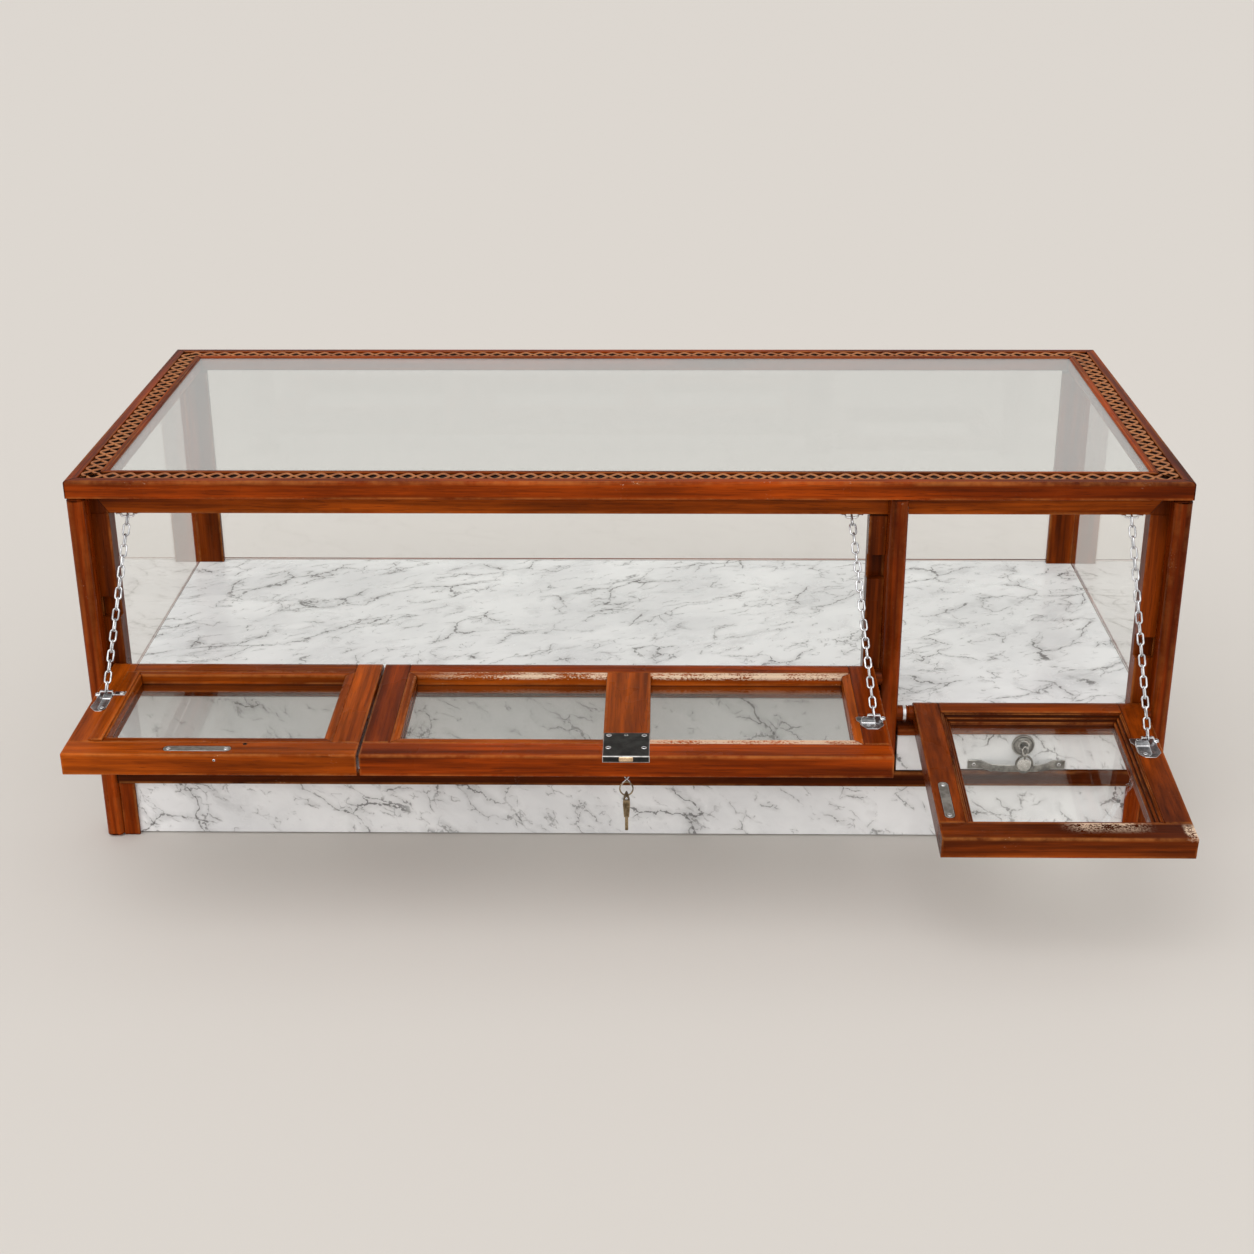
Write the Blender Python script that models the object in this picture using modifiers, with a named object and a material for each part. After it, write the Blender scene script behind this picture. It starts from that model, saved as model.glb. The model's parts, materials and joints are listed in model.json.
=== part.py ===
"""Jewelry display counter: a glazed wooden case on a marble-faced base.

Three framed glass flaps drop open on round pivots along the serving side, and a chain holds each one.
A shallow drawer runs under the deck in the right bay. Metres, +Z up, the serving side faces -Y.
"""
import math

import bmesh
import bpy
from mathutils import Matrix, Vector

# The case
WIDTH = 1.500
DEPTH = 0.660
HEIGHT = 0.540
FIT = 0.0003  # gap between pieces that touch

# Top frame: four mitred rails round a sheet of glass
TOP_RAIL_WIDTH = 0.050
TOP_RAIL_THICK = 0.025
TOP_EDGE_RADIUS = 0.008
FRET_MARGIN = 0.011
FRET_WIDTH = 0.024
FRET_DEPTH = 0.003
GLASS_LEDGE = 0.008
TOP_GLASS_THICK = 0.006
TOP_GLASS_SINK = 0.002
STOP_STRIP_DROP = 0.032
STOP_STRIP_THICK = 0.014

# Posts and mullion: a rounded moulding with a set-back strip beside it
MOULDING_WIDTH = 0.0235
MOULDING_RADIUS = 0.006
END_MOULDING = 0.036
FRONT_POST_WIDTH = 0.047
FRONT_POST_DEPTH = 0.060
REAR_POST_WIDTH = 0.060
REAR_POST_DEPTH = 0.064
END_RECESS = 0.0195
BACK_RECESS = 0.0525
RIGHT_BAY = 0.387  # from the right end to the middle of the mullion's bead
MULLION_BEAD = 0.025
MULLION_STRIP = 0.024
MULLION_DEPTH = 0.060
PANEL_GLASS_THICK = 0.005

# Base: plinth, rail, marble band and deck
PLINTH_TOP = 0.0855
LOWER_RAIL_TOP = 0.1085
BAND_TOP = 0.1665
PLINTH_SETBACK = 0.012
RAIL_SETBACK = 0.001
BAND_SETBACK = 0.005
DECK_TOP = 0.190
DECK_THICK = 0.018
CLEAT_WIDTH = 0.014
CLEAT_THICK = 0.016
BACK_BOARD_THICK = 0.024

# Flaps: bullnosed frames that turn about the centre of their rounded edge
FLAP_THICK = 0.030
FLAP_SETBACK = 0.0015
FLAP_MEMBER = 0.047
FLAP_TOP_GAP = 0.002
FLAP_SILL_GAP = 0.0015
FLAP_SIDE_GAP = 0.010
RIGHT_FLAP_INNER_GAP = 0.0225
RIGHT_FLAP_OUTER_GAP = 0.0085
LEFT_BAY = 0.4115  # from the left end to the gap between the two left flaps
FLAP_SPLIT_GAP = 0.004
STOP_GAP = 0.0005
LEFT_AXIS_Z = 0.250
RIGHT_AXIS_Z = 0.194
LEFT_TILT = math.radians(1.0)
RIGHT_TILT = math.radians(6.0)
MUNTIN_WIDTH = 0.060
PANE_THICK = 0.004
PANE_REBATE = 0.008
PANE_TOP = 0.002
TRUNNION_RADIUS = 0.0115
TRUNNION_DEPTH = 0.008
PIVOT_CLEAR = 0.0004
PIVOT_PLATE_THICK = 0.003
PIVOT_PLATE_LENGTH = 0.021
PIVOT_PIN_RADIUS = 0.0035
PIVOT_PIN_LENGTH = 0.010

# Chains and the staples that hold their ends
LINK_WIDTH = 0.0105
LINK_WIRE = 0.0026
LINK_PITCH = 0.0139
LINK_WELD = 0.0004
LINK_SLACK = 0.0011
KNEE_GAP = 0.0016
STAPLE_SPAN = 0.010
STAPLE_RISE = 0.005
STAPLE_THICK = 0.002
STAPLE_WIDTH = 0.004
STAPLE_FOOT = 0.007
STAPLE_INSET = 0.016
HOOK_INSET = 0.0235
LEFT_STAPLE_REACH = 0.0952
MIDDLE_STAPLE_REACH = 0.158
RIGHT_STAPLE_REACH = 0.0935
NOTCH_MARGIN = 0.003
NOTCH_HEIGHT = 0.030
NOTCH_DEPTH = 0.014

# Lock on the middle flap, its bolt and keys
LOCK_WIDTH = 0.060
LOCK_LENGTH = 0.056
LOCK_PLATE = 0.0025
SELVEDGE_HEIGHT = 0.022
BOLT_WIDTH = 0.018
BOLT_THICK = 0.010
BOLT_LENGTH = 0.026
BOLT_Z = 0.003
BOLT_THROW = 0.008
BOLT_CLEAR = 0.0005
STRIKE_MARGIN = 0.003
KEY_INSET = 0.022
KEY_RADIUS = 0.0022
KEY_SHANK = 0.020
KEY_SEAT = 0.0095
BOW_RADIUS = 0.010
BOW_HOLE = 0.006
BOW_THICK = 0.003
SPLIT_RING_RADIUS = 0.0095
SPLIT_RING_WIRE = 0.002
SPLIT_RING_SLACK = 0.0009
SPARE_HEAD = 0.0075
SPARE_BLADE_LENGTH = 0.030
SPARE_BLADE_WIDTH = 0.005
SPARE_THICK = 0.002

# Drawer, its bow handle and its drop pull
DRAWER_FRONT_BOTTOM = 0.110
DRAWER_FRONT_TOP = 0.165
DRAWER_FRONT_THICK = 0.022
DRAWER_GAP = 0.0018
DRAWER_DEPTH = 0.390
DRAWER_WALL = 0.009
DRAWER_FLOOR = 0.006
DRAWER_BOX_BOTTOM = 0.116
DRAWER_BOX_TOP = 0.158
DRAWER_SIDE_GAP = 0.003
RUNNER_THICK = 0.0075
RUNNER_BEARING = 0.012
DIVIDER_THICK = 0.015
HANDLE_OFFSET = -0.0055  # from the middle of the drawer front
HANDLE_Z = 0.1185
HANDLE_LENGTH = 0.137
HANDLE_HEIGHT = 0.014
HANDLE_FOOT = 0.0185
HANDLE_RISE = 0.015
HANDLE_THICK = 0.003
HANDLE_BEND = 0.014
ROSE_OFFSET = 0.002
ROSE_Z = 0.149
ROSE_RADIUS = 0.016
ROSE_THICK = 0.004
ROSE_NECK_RADIUS = 0.0022
ROSE_KNOB_RADIUS = 0.0031
ROSE_KNOB_LENGTH = 0.003
PULL_WIRE_RADIUS = 0.0017
PULL_LENGTH = 0.0378
PULL_WIDTH = 0.025
PULL_TAPER = 0.0012
PULL_STANDOFF = 0.018
PULL_POINTS = 28
PULL_DISC_RADIUS = 0.0110
PULL_DISC_THICK = 0.0018
PULL_DISC_DROP = 0.0246
RING_ARC = 337.5
RING_STEPS = 15

# Places that several pieces share
HALF = WIDTH / 2
RAIL_UNDER = HEIGHT - TOP_RAIL_THICK
FLAP_RADIUS = FLAP_THICK / 2
AXIS_Y = FLAP_SETBACK + FLAP_RADIUS
FRONT_RECESS = FLAP_SETBACK + FLAP_THICK + STOP_GAP
MOULDING_X = HALF - MOULDING_WIDTH
MULLION_X = HALF - RIGHT_BAY
FLAP_SPLIT_X = LEFT_BAY - HALF
BEAD_LEFT = MULLION_X - MULLION_BEAD / 2
BEAD_RIGHT = MULLION_X + MULLION_BEAD / 2
STRIP_UNDER = RAIL_UNDER - STOP_STRIP_DROP
DECK_UNDER = DECK_TOP - DECK_THICK
DRAWER_FRONT_Y = BAND_SETBACK
DRAWER_LEFT = BEAD_RIGHT + DRAWER_SIDE_GAP
DRAWER_RIGHT = HALF - FRONT_POST_WIDTH - DRAWER_SIDE_GAP
DRAWER_MIDDLE = (BEAD_RIGHT + MOULDING_X) / 2
HANDLE_X = DRAWER_MIDDLE + HANDLE_OFFSET
ROSE_X = DRAWER_MIDDLE + ROSE_OFFSET
RUNNER_TOP = DRAWER_BOX_BOTTOM - FIT
ARC_STEPS = 5

WOOD = ("varnished_wood", (0.33, 0.105, 0.022), 0.28, 0.0)
MARBLE = ("marble_sheet", (0.79, 0.79, 0.80), 0.30, 0.0)
GLASS = ("clear_glass", (0.80, 0.83, 0.81), 0.05, 0.0)
DRAWER_WOOD = ("plain_drawer_wood", (0.48, 0.27, 0.12), 0.55, 0.0)
ZINC = ("bright_zinc", (0.72, 0.73, 0.74), 0.28, 1.0)
BLACK_STEEL = ("black_steel", (0.03, 0.03, 0.03), 0.40, 0.8)
PEWTER = ("aged_pewter", (0.42, 0.41, 0.39), 0.36, 1.0)
BRASS = ("worn_brass", (0.55, 0.38, 0.15), 0.35, 1.0)

for leftover in list(bpy.data.objects):
    bpy.data.objects.remove(leftover, do_unlink=True)

parts = bpy.data.collections.new("jewelry_display_counter")
cutters = bpy.data.collections.new("cutters")
bpy.context.scene.collection.children.link(parts)
bpy.context.scene.collection.children.link(cutters)


def material(finish):
    """The Principled material of a finish, made the first time it is asked for."""
    name, colour, roughness, metallic = finish
    found = bpy.data.materials.get(name)
    if found:
        return found
    made = bpy.data.materials.new(name)
    made.use_nodes = True
    shader = made.node_tree.nodes["Principled BSDF"]
    shader.inputs["Base Color"].default_value = (*colour, 1.0)
    shader.inputs["Roughness"].default_value = roughness
    shader.inputs["Metallic"].default_value = metallic
    made.diffuse_color = (*colour, 1.0)
    return made


def axis_empty(name, place, parent=None, tilt=0.0):
    """An empty on a joint's axis, or at a reference point, that carries the pieces which move with it."""
    empty = bpy.data.objects.new(name, None)
    empty.location = place
    empty.rotation_euler.x = tilt
    empty.parent = parent
    parts.objects.link(empty)
    return empty


def piece(name, mesh, finish, parent):
    """A named part: its mesh, given in its parent's frame, is centred on the object's own origin."""
    corners = [Vector(v.co) for v in mesh.vertices]
    middle = sum(corners, Vector()) / len(corners)
    mesh.transform(Matrix.Translation(-middle))
    mesh.name = name
    mesh.materials.append(material(finish))
    made = bpy.data.objects.new(name, mesh)
    made.location = middle
    made.parent = parent
    parts.objects.link(made)
    return made


def shape_with(target, mesh, operation="DIFFERENCE"):
    """Cut a mesh, given in the target's parent's frame, out of a piece, or join it on."""
    tool = bpy.data.objects.new(f"{target.name}_{operation.lower()}", mesh)
    tool.parent = target.parent
    tool.hide_render = True
    tool.display_type = "WIRE"
    cutters.objects.link(tool)
    boolean = target.modifiers.new(tool.name, "BOOLEAN")
    boolean.operation = operation
    boolean.solver = "EXACT"
    boolean.object = tool


def block(low, high):
    """A box between two corners."""
    low = Vector(low)
    high = Vector(high)
    shape = bmesh.new()
    bmesh.ops.create_cube(shape, size=1.0)
    bmesh.ops.scale(shape, vec=high - low, verts=shape.verts)
    bmesh.ops.translate(shape, vec=(low + high) / 2, verts=shape.verts)
    return finished(shape)


def rod(start, end, radius, sides=20):
    """A round bar between two points."""
    start = Vector(start)
    along = Vector(end) - start
    shape = bmesh.new()
    bmesh.ops.create_cone(
        shape, cap_ends=True, segments=sides, radius1=radius, radius2=radius, depth=along.length
    )
    turn = Vector((0, 0, 1)).rotation_difference(along).to_matrix().to_4x4()
    shape.transform(Matrix.Translation(start + along / 2) @ turn)
    return finished(shape)


def finished(shape):
    """The mesh of a bmesh shape, which is then let go."""
    mesh = bpy.data.meshes.new("shape")
    shape.to_mesh(mesh)
    shape.free()
    return mesh


def meshed(curve):
    """A curve turned into a welded mesh, with the curve removed."""
    holder = bpy.data.objects.new("curve", curve)
    bpy.context.scene.collection.objects.link(holder)
    evaluated = holder.evaluated_get(bpy.context.evaluated_depsgraph_get())
    mesh = bpy.data.meshes.new_from_object(evaluated)
    mesh.materials.clear()
    bpy.data.objects.remove(holder, do_unlink=True)
    shape = bmesh.new()
    shape.from_mesh(mesh)
    bmesh.ops.remove_doubles(shape, verts=shape.verts, dist=0.000001)
    bmesh.ops.recalc_face_normals(shape, faces=shape.faces)
    shape.to_mesh(mesh)
    shape.free()
    return mesh


PLANES = {
    "plan": Matrix(((1, 0, 0), (0, 1, 0), (0, 0, 1))),
    "side": Matrix(((0, 0, 1), (1, 0, 0), (0, 1, 0))),
    "front": Matrix(((1, 0, 0), (0, 0, -1), (0, 1, 0))),
}


def slab(outlines, near, far, plane):
    """Flat outlines, an inner one being a hole, made solid from near to far across their plane.

    A plan outline holds (x, y), a side outline (y, z) and a front outline (x, z).
    """
    curve = bpy.data.curves.new("outline", "CURVE")
    curve.dimensions = "2D"
    curve.fill_mode = "BOTH"
    curve.extrude = abs(far - near) / 2
    for outline in outlines:
        spline = curve.splines.new("POLY")
        spline.points.add(len(outline) - 1)
        for point, (across, up) in zip(spline.points, outline):
            point.co = (across, up, 0.0, 1.0)
        spline.use_cyclic_u = True
    mesh = meshed(curve)
    middle = (near + far) / 2
    offset = {"plan": (0, 0, middle), "side": (middle, 0, 0), "front": (0, middle, 0)}[plane]
    mesh.transform(Matrix.Translation(offset) @ PLANES[plane].to_4x4())
    return mesh


def arc(centre, radius, first, last, steps):
    """Points on a circle between two angles in degrees."""
    angles = [math.radians(first + (last - first) * n / steps) for n in range(steps + 1)]
    return [(centre[0] + radius * math.cos(a), centre[1] + radius * math.sin(a)) for a in angles]


def rounded(corners):
    """An outline of (across, up, radius) corners, with an arc at each corner that has a radius."""
    outline = []
    for n, (across, up, radius) in enumerate(corners):
        here = Vector((across, up))
        if not radius:
            outline.append((across, up))
            continue
        before = (Vector(corners[n - 1][:2]) - here).normalized()
        after = (Vector(corners[(n + 1) % len(corners)][:2]) - here).normalized()
        half_angle = before.angle(after) / 2
        start = here + before * (radius / math.tan(half_angle))
        end = here + after * (radius / math.tan(half_angle))
        middle = here + (before + after).normalized() * (radius / math.sin(half_angle))
        for step in range(ARC_STEPS + 1):
            share = step / ARC_STEPS
            spoke = (start - middle).slerp(end - middle, share).normalized() * radius
            outline.append(tuple(middle + spoke))
    return outline


def mirrored(outline, side):
    """An outline of (distance in from the end face, other) turned to x on the left or right side."""
    return [(side * (HALF - inward), other) for inward, other in outline]


def flap_length(axis_z):
    """From a closed flap's rounded edge up to the underside of the top rail."""
    return RAIL_UNDER - FLAP_TOP_GAP - (axis_z - FLAP_RADIUS)


def sill_top(axis_z, tilt, front_y):
    """Where a sill under a lowered flap ends, a little below the flap's outer face."""
    drop = FLAP_RADIUS / math.cos(tilt) + (AXIS_Y - front_y) * math.tan(tilt)
    return axis_z - drop - FLAP_SILL_GAP


RIGHT_FLAP_END = AXIS_Y - (flap_length(RIGHT_AXIS_Z) - FLAP_RADIUS) * math.cos(RIGHT_TILT)
FRONT_REACH = RIGHT_FLAP_END - FLAP_RADIUS * math.sin(RIGHT_TILT)
counter = axis_empty("counter_frame", (0, -(DEPTH + FRONT_REACH) / 2, 0))


# Top frame
def top_rail(name, length, place, turn):
    """A mitred rail: rounded outer edge, a bed for the fret on top and a ledge for the glass."""
    fret_end = FRET_MARGIN + FRET_WIDTH
    ledge = TOP_RAIL_WIDTH - GLASS_LEDGE
    ledge_z = HEIGHT - TOP_GLASS_SINK - TOP_GLASS_THICK - FIT
    outline = rounded([
        (0, RAIL_UNDER, TOP_EDGE_RADIUS),
        (0, HEIGHT, TOP_EDGE_RADIUS),
        (FRET_MARGIN, HEIGHT, 0),
        (FRET_MARGIN, HEIGHT - FRET_DEPTH, 0),
        (fret_end, HEIGHT - FRET_DEPTH, 0),
        (fret_end, HEIGHT, 0),
        (ledge, HEIGHT, 0),
        (ledge, ledge_z, 0),
        (TOP_RAIL_WIDTH, ledge_z, 0),
        (TOP_RAIL_WIDTH, RAIL_UNDER, 0),
    ])
    mesh = slab([outline], -length / 2, length / 2, "side")
    for vertex in mesh.vertices:
        vertex.co.x = math.copysign(length / 2 - vertex.co.y - FIT / 2, vertex.co.x)
    mesh.transform(Matrix.Translation(place) @ Matrix.Rotation(turn, 4, "Z"))
    return piece(name, mesh, WOOD, counter)


front_rail = top_rail("front_top_rail", WIDTH, (0, 0, 0), 0)
top_rail("rear_top_rail", WIDTH, (0, DEPTH, 0), math.pi)
top_rail("left_top_rail", DEPTH, (-HALF, DEPTH / 2, 0), -math.pi / 2)
top_rail("right_top_rail", DEPTH, (HALF, DEPTH / 2, 0), math.pi / 2)
strip_reach = HALF - FRONT_POST_WIDTH - FIT
strip_back = FRONT_RECESS + STOP_STRIP_THICK
shape_with(
    front_rail,
    block(
        (-strip_reach, FRONT_RECESS, STRIP_UNDER),
        (strip_reach, strip_back, RAIL_UNDER + TOP_RAIL_THICK / 3),
    ),
    "UNION",
)

opening = TOP_RAIL_WIDTH - GLASS_LEDGE + FIT
top_glass_z = HEIGHT - TOP_GLASS_SINK - TOP_GLASS_THICK
piece(
    "top_glass",
    block(
        (opening - HALF, opening, top_glass_z),
        (HALF - opening, DEPTH - opening, top_glass_z + TOP_GLASS_THICK),
    ),
    GLASS,
    counter,
)


# Posts, with the mullion that parts the two bays
def post(name, side, rear):
    """A corner post: rounded moulding outside, strips set back for the flap or back glass and end glass."""
    width = REAR_POST_WIDTH if rear else FRONT_POST_WIDTH
    depth = REAR_POST_DEPTH if rear else FRONT_POST_DEPTH
    recess = BACK_RECESS if rear else FRONT_RECESS
    outline = rounded([
        (0, 0, MOULDING_RADIUS),
        (MOULDING_WIDTH, 0, MOULDING_RADIUS),
        (MOULDING_WIDTH, recess, 0),
        (width, recess, 0),
        (width, depth, 0),
        (END_RECESS, depth, 0),
        (END_RECESS, END_MOULDING, 0),
        (0, END_MOULDING, MOULDING_RADIUS),
    ])
    if rear:
        outline = [(inward, DEPTH - back) for inward, back in outline]
    mesh = slab([mirrored(outline, side)], 0, RAIL_UNDER - FIT, "plan")
    return piece(name, mesh, WOOD, counter)


left_post = post("front_left_post", -1, rear=False)
right_post = post("front_right_post", 1, rear=False)
post("rear_left_post", -1, rear=True)
post("rear_right_post", 1, rear=True)

mullion_outline = rounded([
    (BEAD_LEFT, 0, MOULDING_RADIUS),
    (BEAD_RIGHT, 0, MOULDING_RADIUS),
    (BEAD_RIGHT, MULLION_DEPTH, 0),
    (BEAD_LEFT - MULLION_STRIP, MULLION_DEPTH, 0),
    (BEAD_LEFT - MULLION_STRIP, FRONT_RECESS, 0),
    (BEAD_LEFT, FRONT_RECESS, 0),
])
mullion = piece(
    "mullion", slab([mullion_outline], LOWER_RAIL_TOP + FIT, RAIL_UNDER - FIT, "plan"), WOOD, counter
)
shape_with(
    mullion,
    block(
        (BEAD_LEFT - 2 * MULLION_STRIP, FRONT_RECESS - FIT, STRIP_UNDER - FIT),
        (BEAD_RIGHT + MULLION_STRIP, 2 * MULLION_DEPTH, HEIGHT),
    ),
)


def pivot_bore(target, face_x, direction, axis_z):
    """A blind round hole in a post's side, for the trunnion of the flap beside it."""
    mouth = (face_x - direction * TRUNNION_DEPTH, AXIS_Y, axis_z)
    bottom = (face_x + direction * (TRUNNION_DEPTH + PIVOT_CLEAR), AXIS_Y, axis_z)
    shape_with(target, rod(mouth, bottom, TRUNNION_RADIUS + PIVOT_CLEAR))


pivot_bore(left_post, -MOULDING_X, -1, LEFT_AXIS_Z)
pivot_bore(mullion, BEAD_LEFT, 1, LEFT_AXIS_Z)
pivot_bore(mullion, BEAD_RIGHT, -1, RIGHT_AXIS_Z)
pivot_bore(right_post, MOULDING_X, 1, RIGHT_AXIS_Z)

# Glass of the ends and the back
for end_name, side in (("left", -1), ("right", 1)):
    outer = side * (HALF - END_RECESS + FIT + PANEL_GLASS_THICK)
    inner = side * (HALF - END_RECESS + FIT)
    piece(
        f"{end_name}_end_glass",
        block(
            (min(outer, inner), END_MOULDING + FIT, DECK_TOP + FIT),
            (max(outer, inner), DEPTH - END_MOULDING - FIT, RAIL_UNDER - FIT),
        ),
        GLASS,
        counter,
    )
back_glass_y = DEPTH - BACK_RECESS + FIT
piece(
    "back_glass",
    block(
        (FIT - MOULDING_X, back_glass_y, DECK_TOP + FIT),
        (MOULDING_X - FIT, back_glass_y + PANEL_GLASS_THICK, RAIL_UNDER - FIT),
    ),
    GLASS,
    counter,
)

# Base: front, ends and back, with the deck on their cleats
inner_front = FRONT_RECESS - FIT
front_reach_x = MOULDING_X - FIT
front_outline = [
    (PLINTH_SETBACK, 0),
    (inner_front, 0),
    (inner_front, LOWER_RAIL_TOP),
    (RAIL_SETBACK, LOWER_RAIL_TOP),
    (RAIL_SETBACK, PLINTH_TOP),
    (PLINTH_SETBACK, PLINTH_TOP),
]
apron_top = sill_top(LEFT_AXIS_Z, LEFT_TILT, BAND_SETBACK)
piece("front_base", slab([front_outline], -front_reach_x, front_reach_x, "side"), MARBLE, counter)
piece(
    "front_apron",
    block(
        (-front_reach_x, BAND_SETBACK, LOWER_RAIL_TOP + FIT),
        (BEAD_LEFT - FIT, inner_front, apron_top),
    ),
    MARBLE,
    counter,
)
piece(
    "drawer_sill",
    block(
        (BEAD_RIGHT + FIT, RAIL_SETBACK, DRAWER_FRONT_TOP + DRAWER_GAP),
        (front_reach_x, inner_front, sill_top(RIGHT_AXIS_Z, RIGHT_TILT, RAIL_SETBACK)),
    ),
    WOOD,
    counter,
)


def base_face():
    """The outer face of an end or back base from the floor up: plinth, rail, band and top rail."""
    return [
        (PLINTH_SETBACK, 0),
        (PLINTH_SETBACK, PLINTH_TOP),
        (RAIL_SETBACK, PLINTH_TOP),
        (RAIL_SETBACK, LOWER_RAIL_TOP),
        (BAND_SETBACK, LOWER_RAIL_TOP),
        (BAND_SETBACK, BAND_TOP),
        (RAIL_SETBACK, BAND_TOP),
        (RAIL_SETBACK, DECK_TOP),
    ]


def cleat(inner, reach, top, thick):
    """The steps of an inner face, going down, round a cleat that stands out of it."""
    return [(inner, top), (reach, top), (reach, top - thick), (inner, top - thick)]


def clear_of_posts(target, side):
    """Cut an end base's cleats back where the two posts stand."""
    edge = side * (HALF - END_RECESS + FIT)
    far = side * (HALF - 2 * max(FRONT_POST_WIDTH, REAR_POST_WIDTH))
    ends = ((0, FRONT_POST_DEPTH + FIT), (DEPTH - REAR_POST_DEPTH - FIT, DEPTH))
    for start, end in ends:
        shape_with(target, block((min(edge, far), start, -FIT), (max(edge, far), end, HEIGHT)))


for end_name, side in (("left", -1), ("right", 1)):
    inner = END_RECESS - 2 * FIT
    outline = base_face() + [(inner, DECK_TOP)]
    outline += cleat(inner, inner + CLEAT_WIDTH, DECK_UNDER - FIT, CLEAT_THICK)
    if side > 0:
        outline += cleat(inner, HALF - DRAWER_RIGHT + RUNNER_BEARING, RUNNER_TOP, RUNNER_THICK)
    outline += [(inner, 0)]
    mesh = slab(
        [[(side * (HALF - inward), up) for inward, up in outline]],
        END_MOULDING + FIT,
        DEPTH - END_MOULDING - FIT,
        "front",
    )
    clear_of_posts(piece(f"{end_name}_end_base", mesh, MARBLE, counter), side)

back_inner = BACK_RECESS - 2 * FIT
back_outline = base_face() + [(back_inner, DECK_TOP)]
back_outline += cleat(back_inner, back_inner + CLEAT_WIDTH, DECK_UNDER - FIT, CLEAT_THICK)[:3]
back_outline += [(BACK_BOARD_THICK, DECK_UNDER - FIT - CLEAT_THICK), (BACK_BOARD_THICK, 0)]
back_base = piece(
    "back_base",
    slab([[(DEPTH - inward, up) for inward, up in back_outline]], -front_reach_x, front_reach_x, "side"),
    MARBLE,
    counter,
)
for side in (-1, 1):
    near = side * (HALF - REAR_POST_WIDTH - FIT)
    shape_with(
        back_base,
        block(
            (min(near, side * HALF), DEPTH - 2 * REAR_POST_DEPTH, -FIT),
            (max(near, side * HALF), DEPTH - BACK_RECESS + FIT, HEIGHT),
        ),
    )

deck_side = HALF - END_RECESS - FIT
deck_front = FRONT_RECESS + FIT
deck_back = DEPTH - BACK_RECESS - FIT
front_notch_x = HALF - FRONT_POST_WIDTH - FIT
rear_notch_x = HALF - REAR_POST_WIDTH - FIT
front_notch_y = FRONT_POST_DEPTH + FIT
rear_notch_y = DEPTH - REAR_POST_DEPTH - FIT
mullion_back = MULLION_DEPTH + FIT
mullion_left = BEAD_LEFT - MULLION_STRIP - FIT
deck_outline = [
    (-front_notch_x, deck_front),
    (mullion_left, deck_front),
    (mullion_left, mullion_back),
    (BEAD_RIGHT + FIT, mullion_back),
    (BEAD_RIGHT + FIT, deck_front),
    (front_notch_x, deck_front),
    (front_notch_x, front_notch_y),
    (deck_side, front_notch_y),
    (deck_side, rear_notch_y),
    (rear_notch_x, rear_notch_y),
    (rear_notch_x, deck_back),
    (-rear_notch_x, deck_back),
    (-rear_notch_x, rear_notch_y),
    (-deck_side, rear_notch_y),
    (-deck_side, front_notch_y),
    (-front_notch_x, front_notch_y),
]
piece("deck", slab([deck_outline], DECK_UNDER, DECK_TOP, "plan"), MARBLE, counter)

divider_right = BEAD_RIGHT - MULLION_BEAD / 2
divider_left = divider_right - DIVIDER_THICK
runner_end = DRAWER_LEFT + RUNNER_BEARING
divider_outline = [
    (divider_left, PLINTH_TOP),
    (divider_right, PLINTH_TOP),
    (divider_right, RUNNER_TOP - RUNNER_THICK),
    (runner_end, RUNNER_TOP - RUNNER_THICK),
    (runner_end, RUNNER_TOP),
    (divider_right, RUNNER_TOP),
    (divider_right, DECK_UNDER - FIT),
    (divider_left, DECK_UNDER - FIT),
]
divider_back = DEPTH - back_inner - CLEAT_WIDTH - FIT
piece("drawer_divider", slab([divider_outline], mullion_back, divider_back, "front"), WOOD, counter)

# Centre pivot: a steel plate on the apron, with a pin into the flap on either side
pivot_foot = apron_top + FIT
half_plate = PIVOT_PLATE_THICK / 2
centre_pivot = piece(
    "centre_pivot",
    block(
        (FLAP_SPLIT_X - half_plate, AXIS_Y - PIVOT_PLATE_LENGTH / 2, pivot_foot),
        (FLAP_SPLIT_X + half_plate, AXIS_Y + PIVOT_PLATE_LENGTH / 2, LEFT_AXIS_Z + PIVOT_PLATE_LENGTH / 3),
    ),
    ZINC,
    counter,
)
pin_reach = half_plate + PIVOT_PIN_LENGTH
shape_with(
    centre_pivot,
    rod(
        (FLAP_SPLIT_X - pin_reach, AXIS_Y, LEFT_AXIS_Z),
        (FLAP_SPLIT_X + pin_reach, AXIS_Y, LEFT_AXIS_Z),
        PIVOT_PIN_RADIUS,
        12,
    ),
    "UNION",
)


# Flaps, each in a frame whose origin is on its pivot and whose inner face is up
def flap_outline(reach):
    """A flap member's side: half round at the pivot, square at its far end."""
    rounded_edge = arc((0, 0), FLAP_RADIUS, -90, 90, 2 * ARC_STEPS)
    return rounded_edge + [(-reach, FLAP_RADIUS), (-reach, -FLAP_RADIUS)]


def trunnion(stile, inside_x, post_face_x):
    """Join a round pivot to a stile's edge, reaching into the post beside it."""
    direction = math.copysign(1, post_face_x - inside_x)
    start = (inside_x - direction * FLAP_MEMBER / 4, 0, 0)
    end = (post_face_x + direction * TRUNNION_DEPTH, 0, 0)
    shape_with(stile, rod(start, end, TRUNNION_RADIUS), "UNION")


def pin_hole(stile, edge_x, direction):
    """The hole for the centre pivot's pin, in a stile's edge."""
    mouth = (edge_x - direction * FLAP_SPLIT_GAP, 0, 0)
    bottom = (edge_x + direction * (PIVOT_PIN_LENGTH + PIVOT_CLEAR), 0, 0)
    shape_with(stile, rod(mouth, bottom, PIVOT_PIN_RADIUS + PIVOT_CLEAR, 12))


def pane_box(left, right, near, far, grow, low):
    """The box of a pane in its rebates, which reach past the daylight opening on every side."""
    edge = PANE_REBATE - grow
    return block((left - edge, far - edge, low), (right + edge, near + edge, PANE_TOP + FIT - grow))


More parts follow.
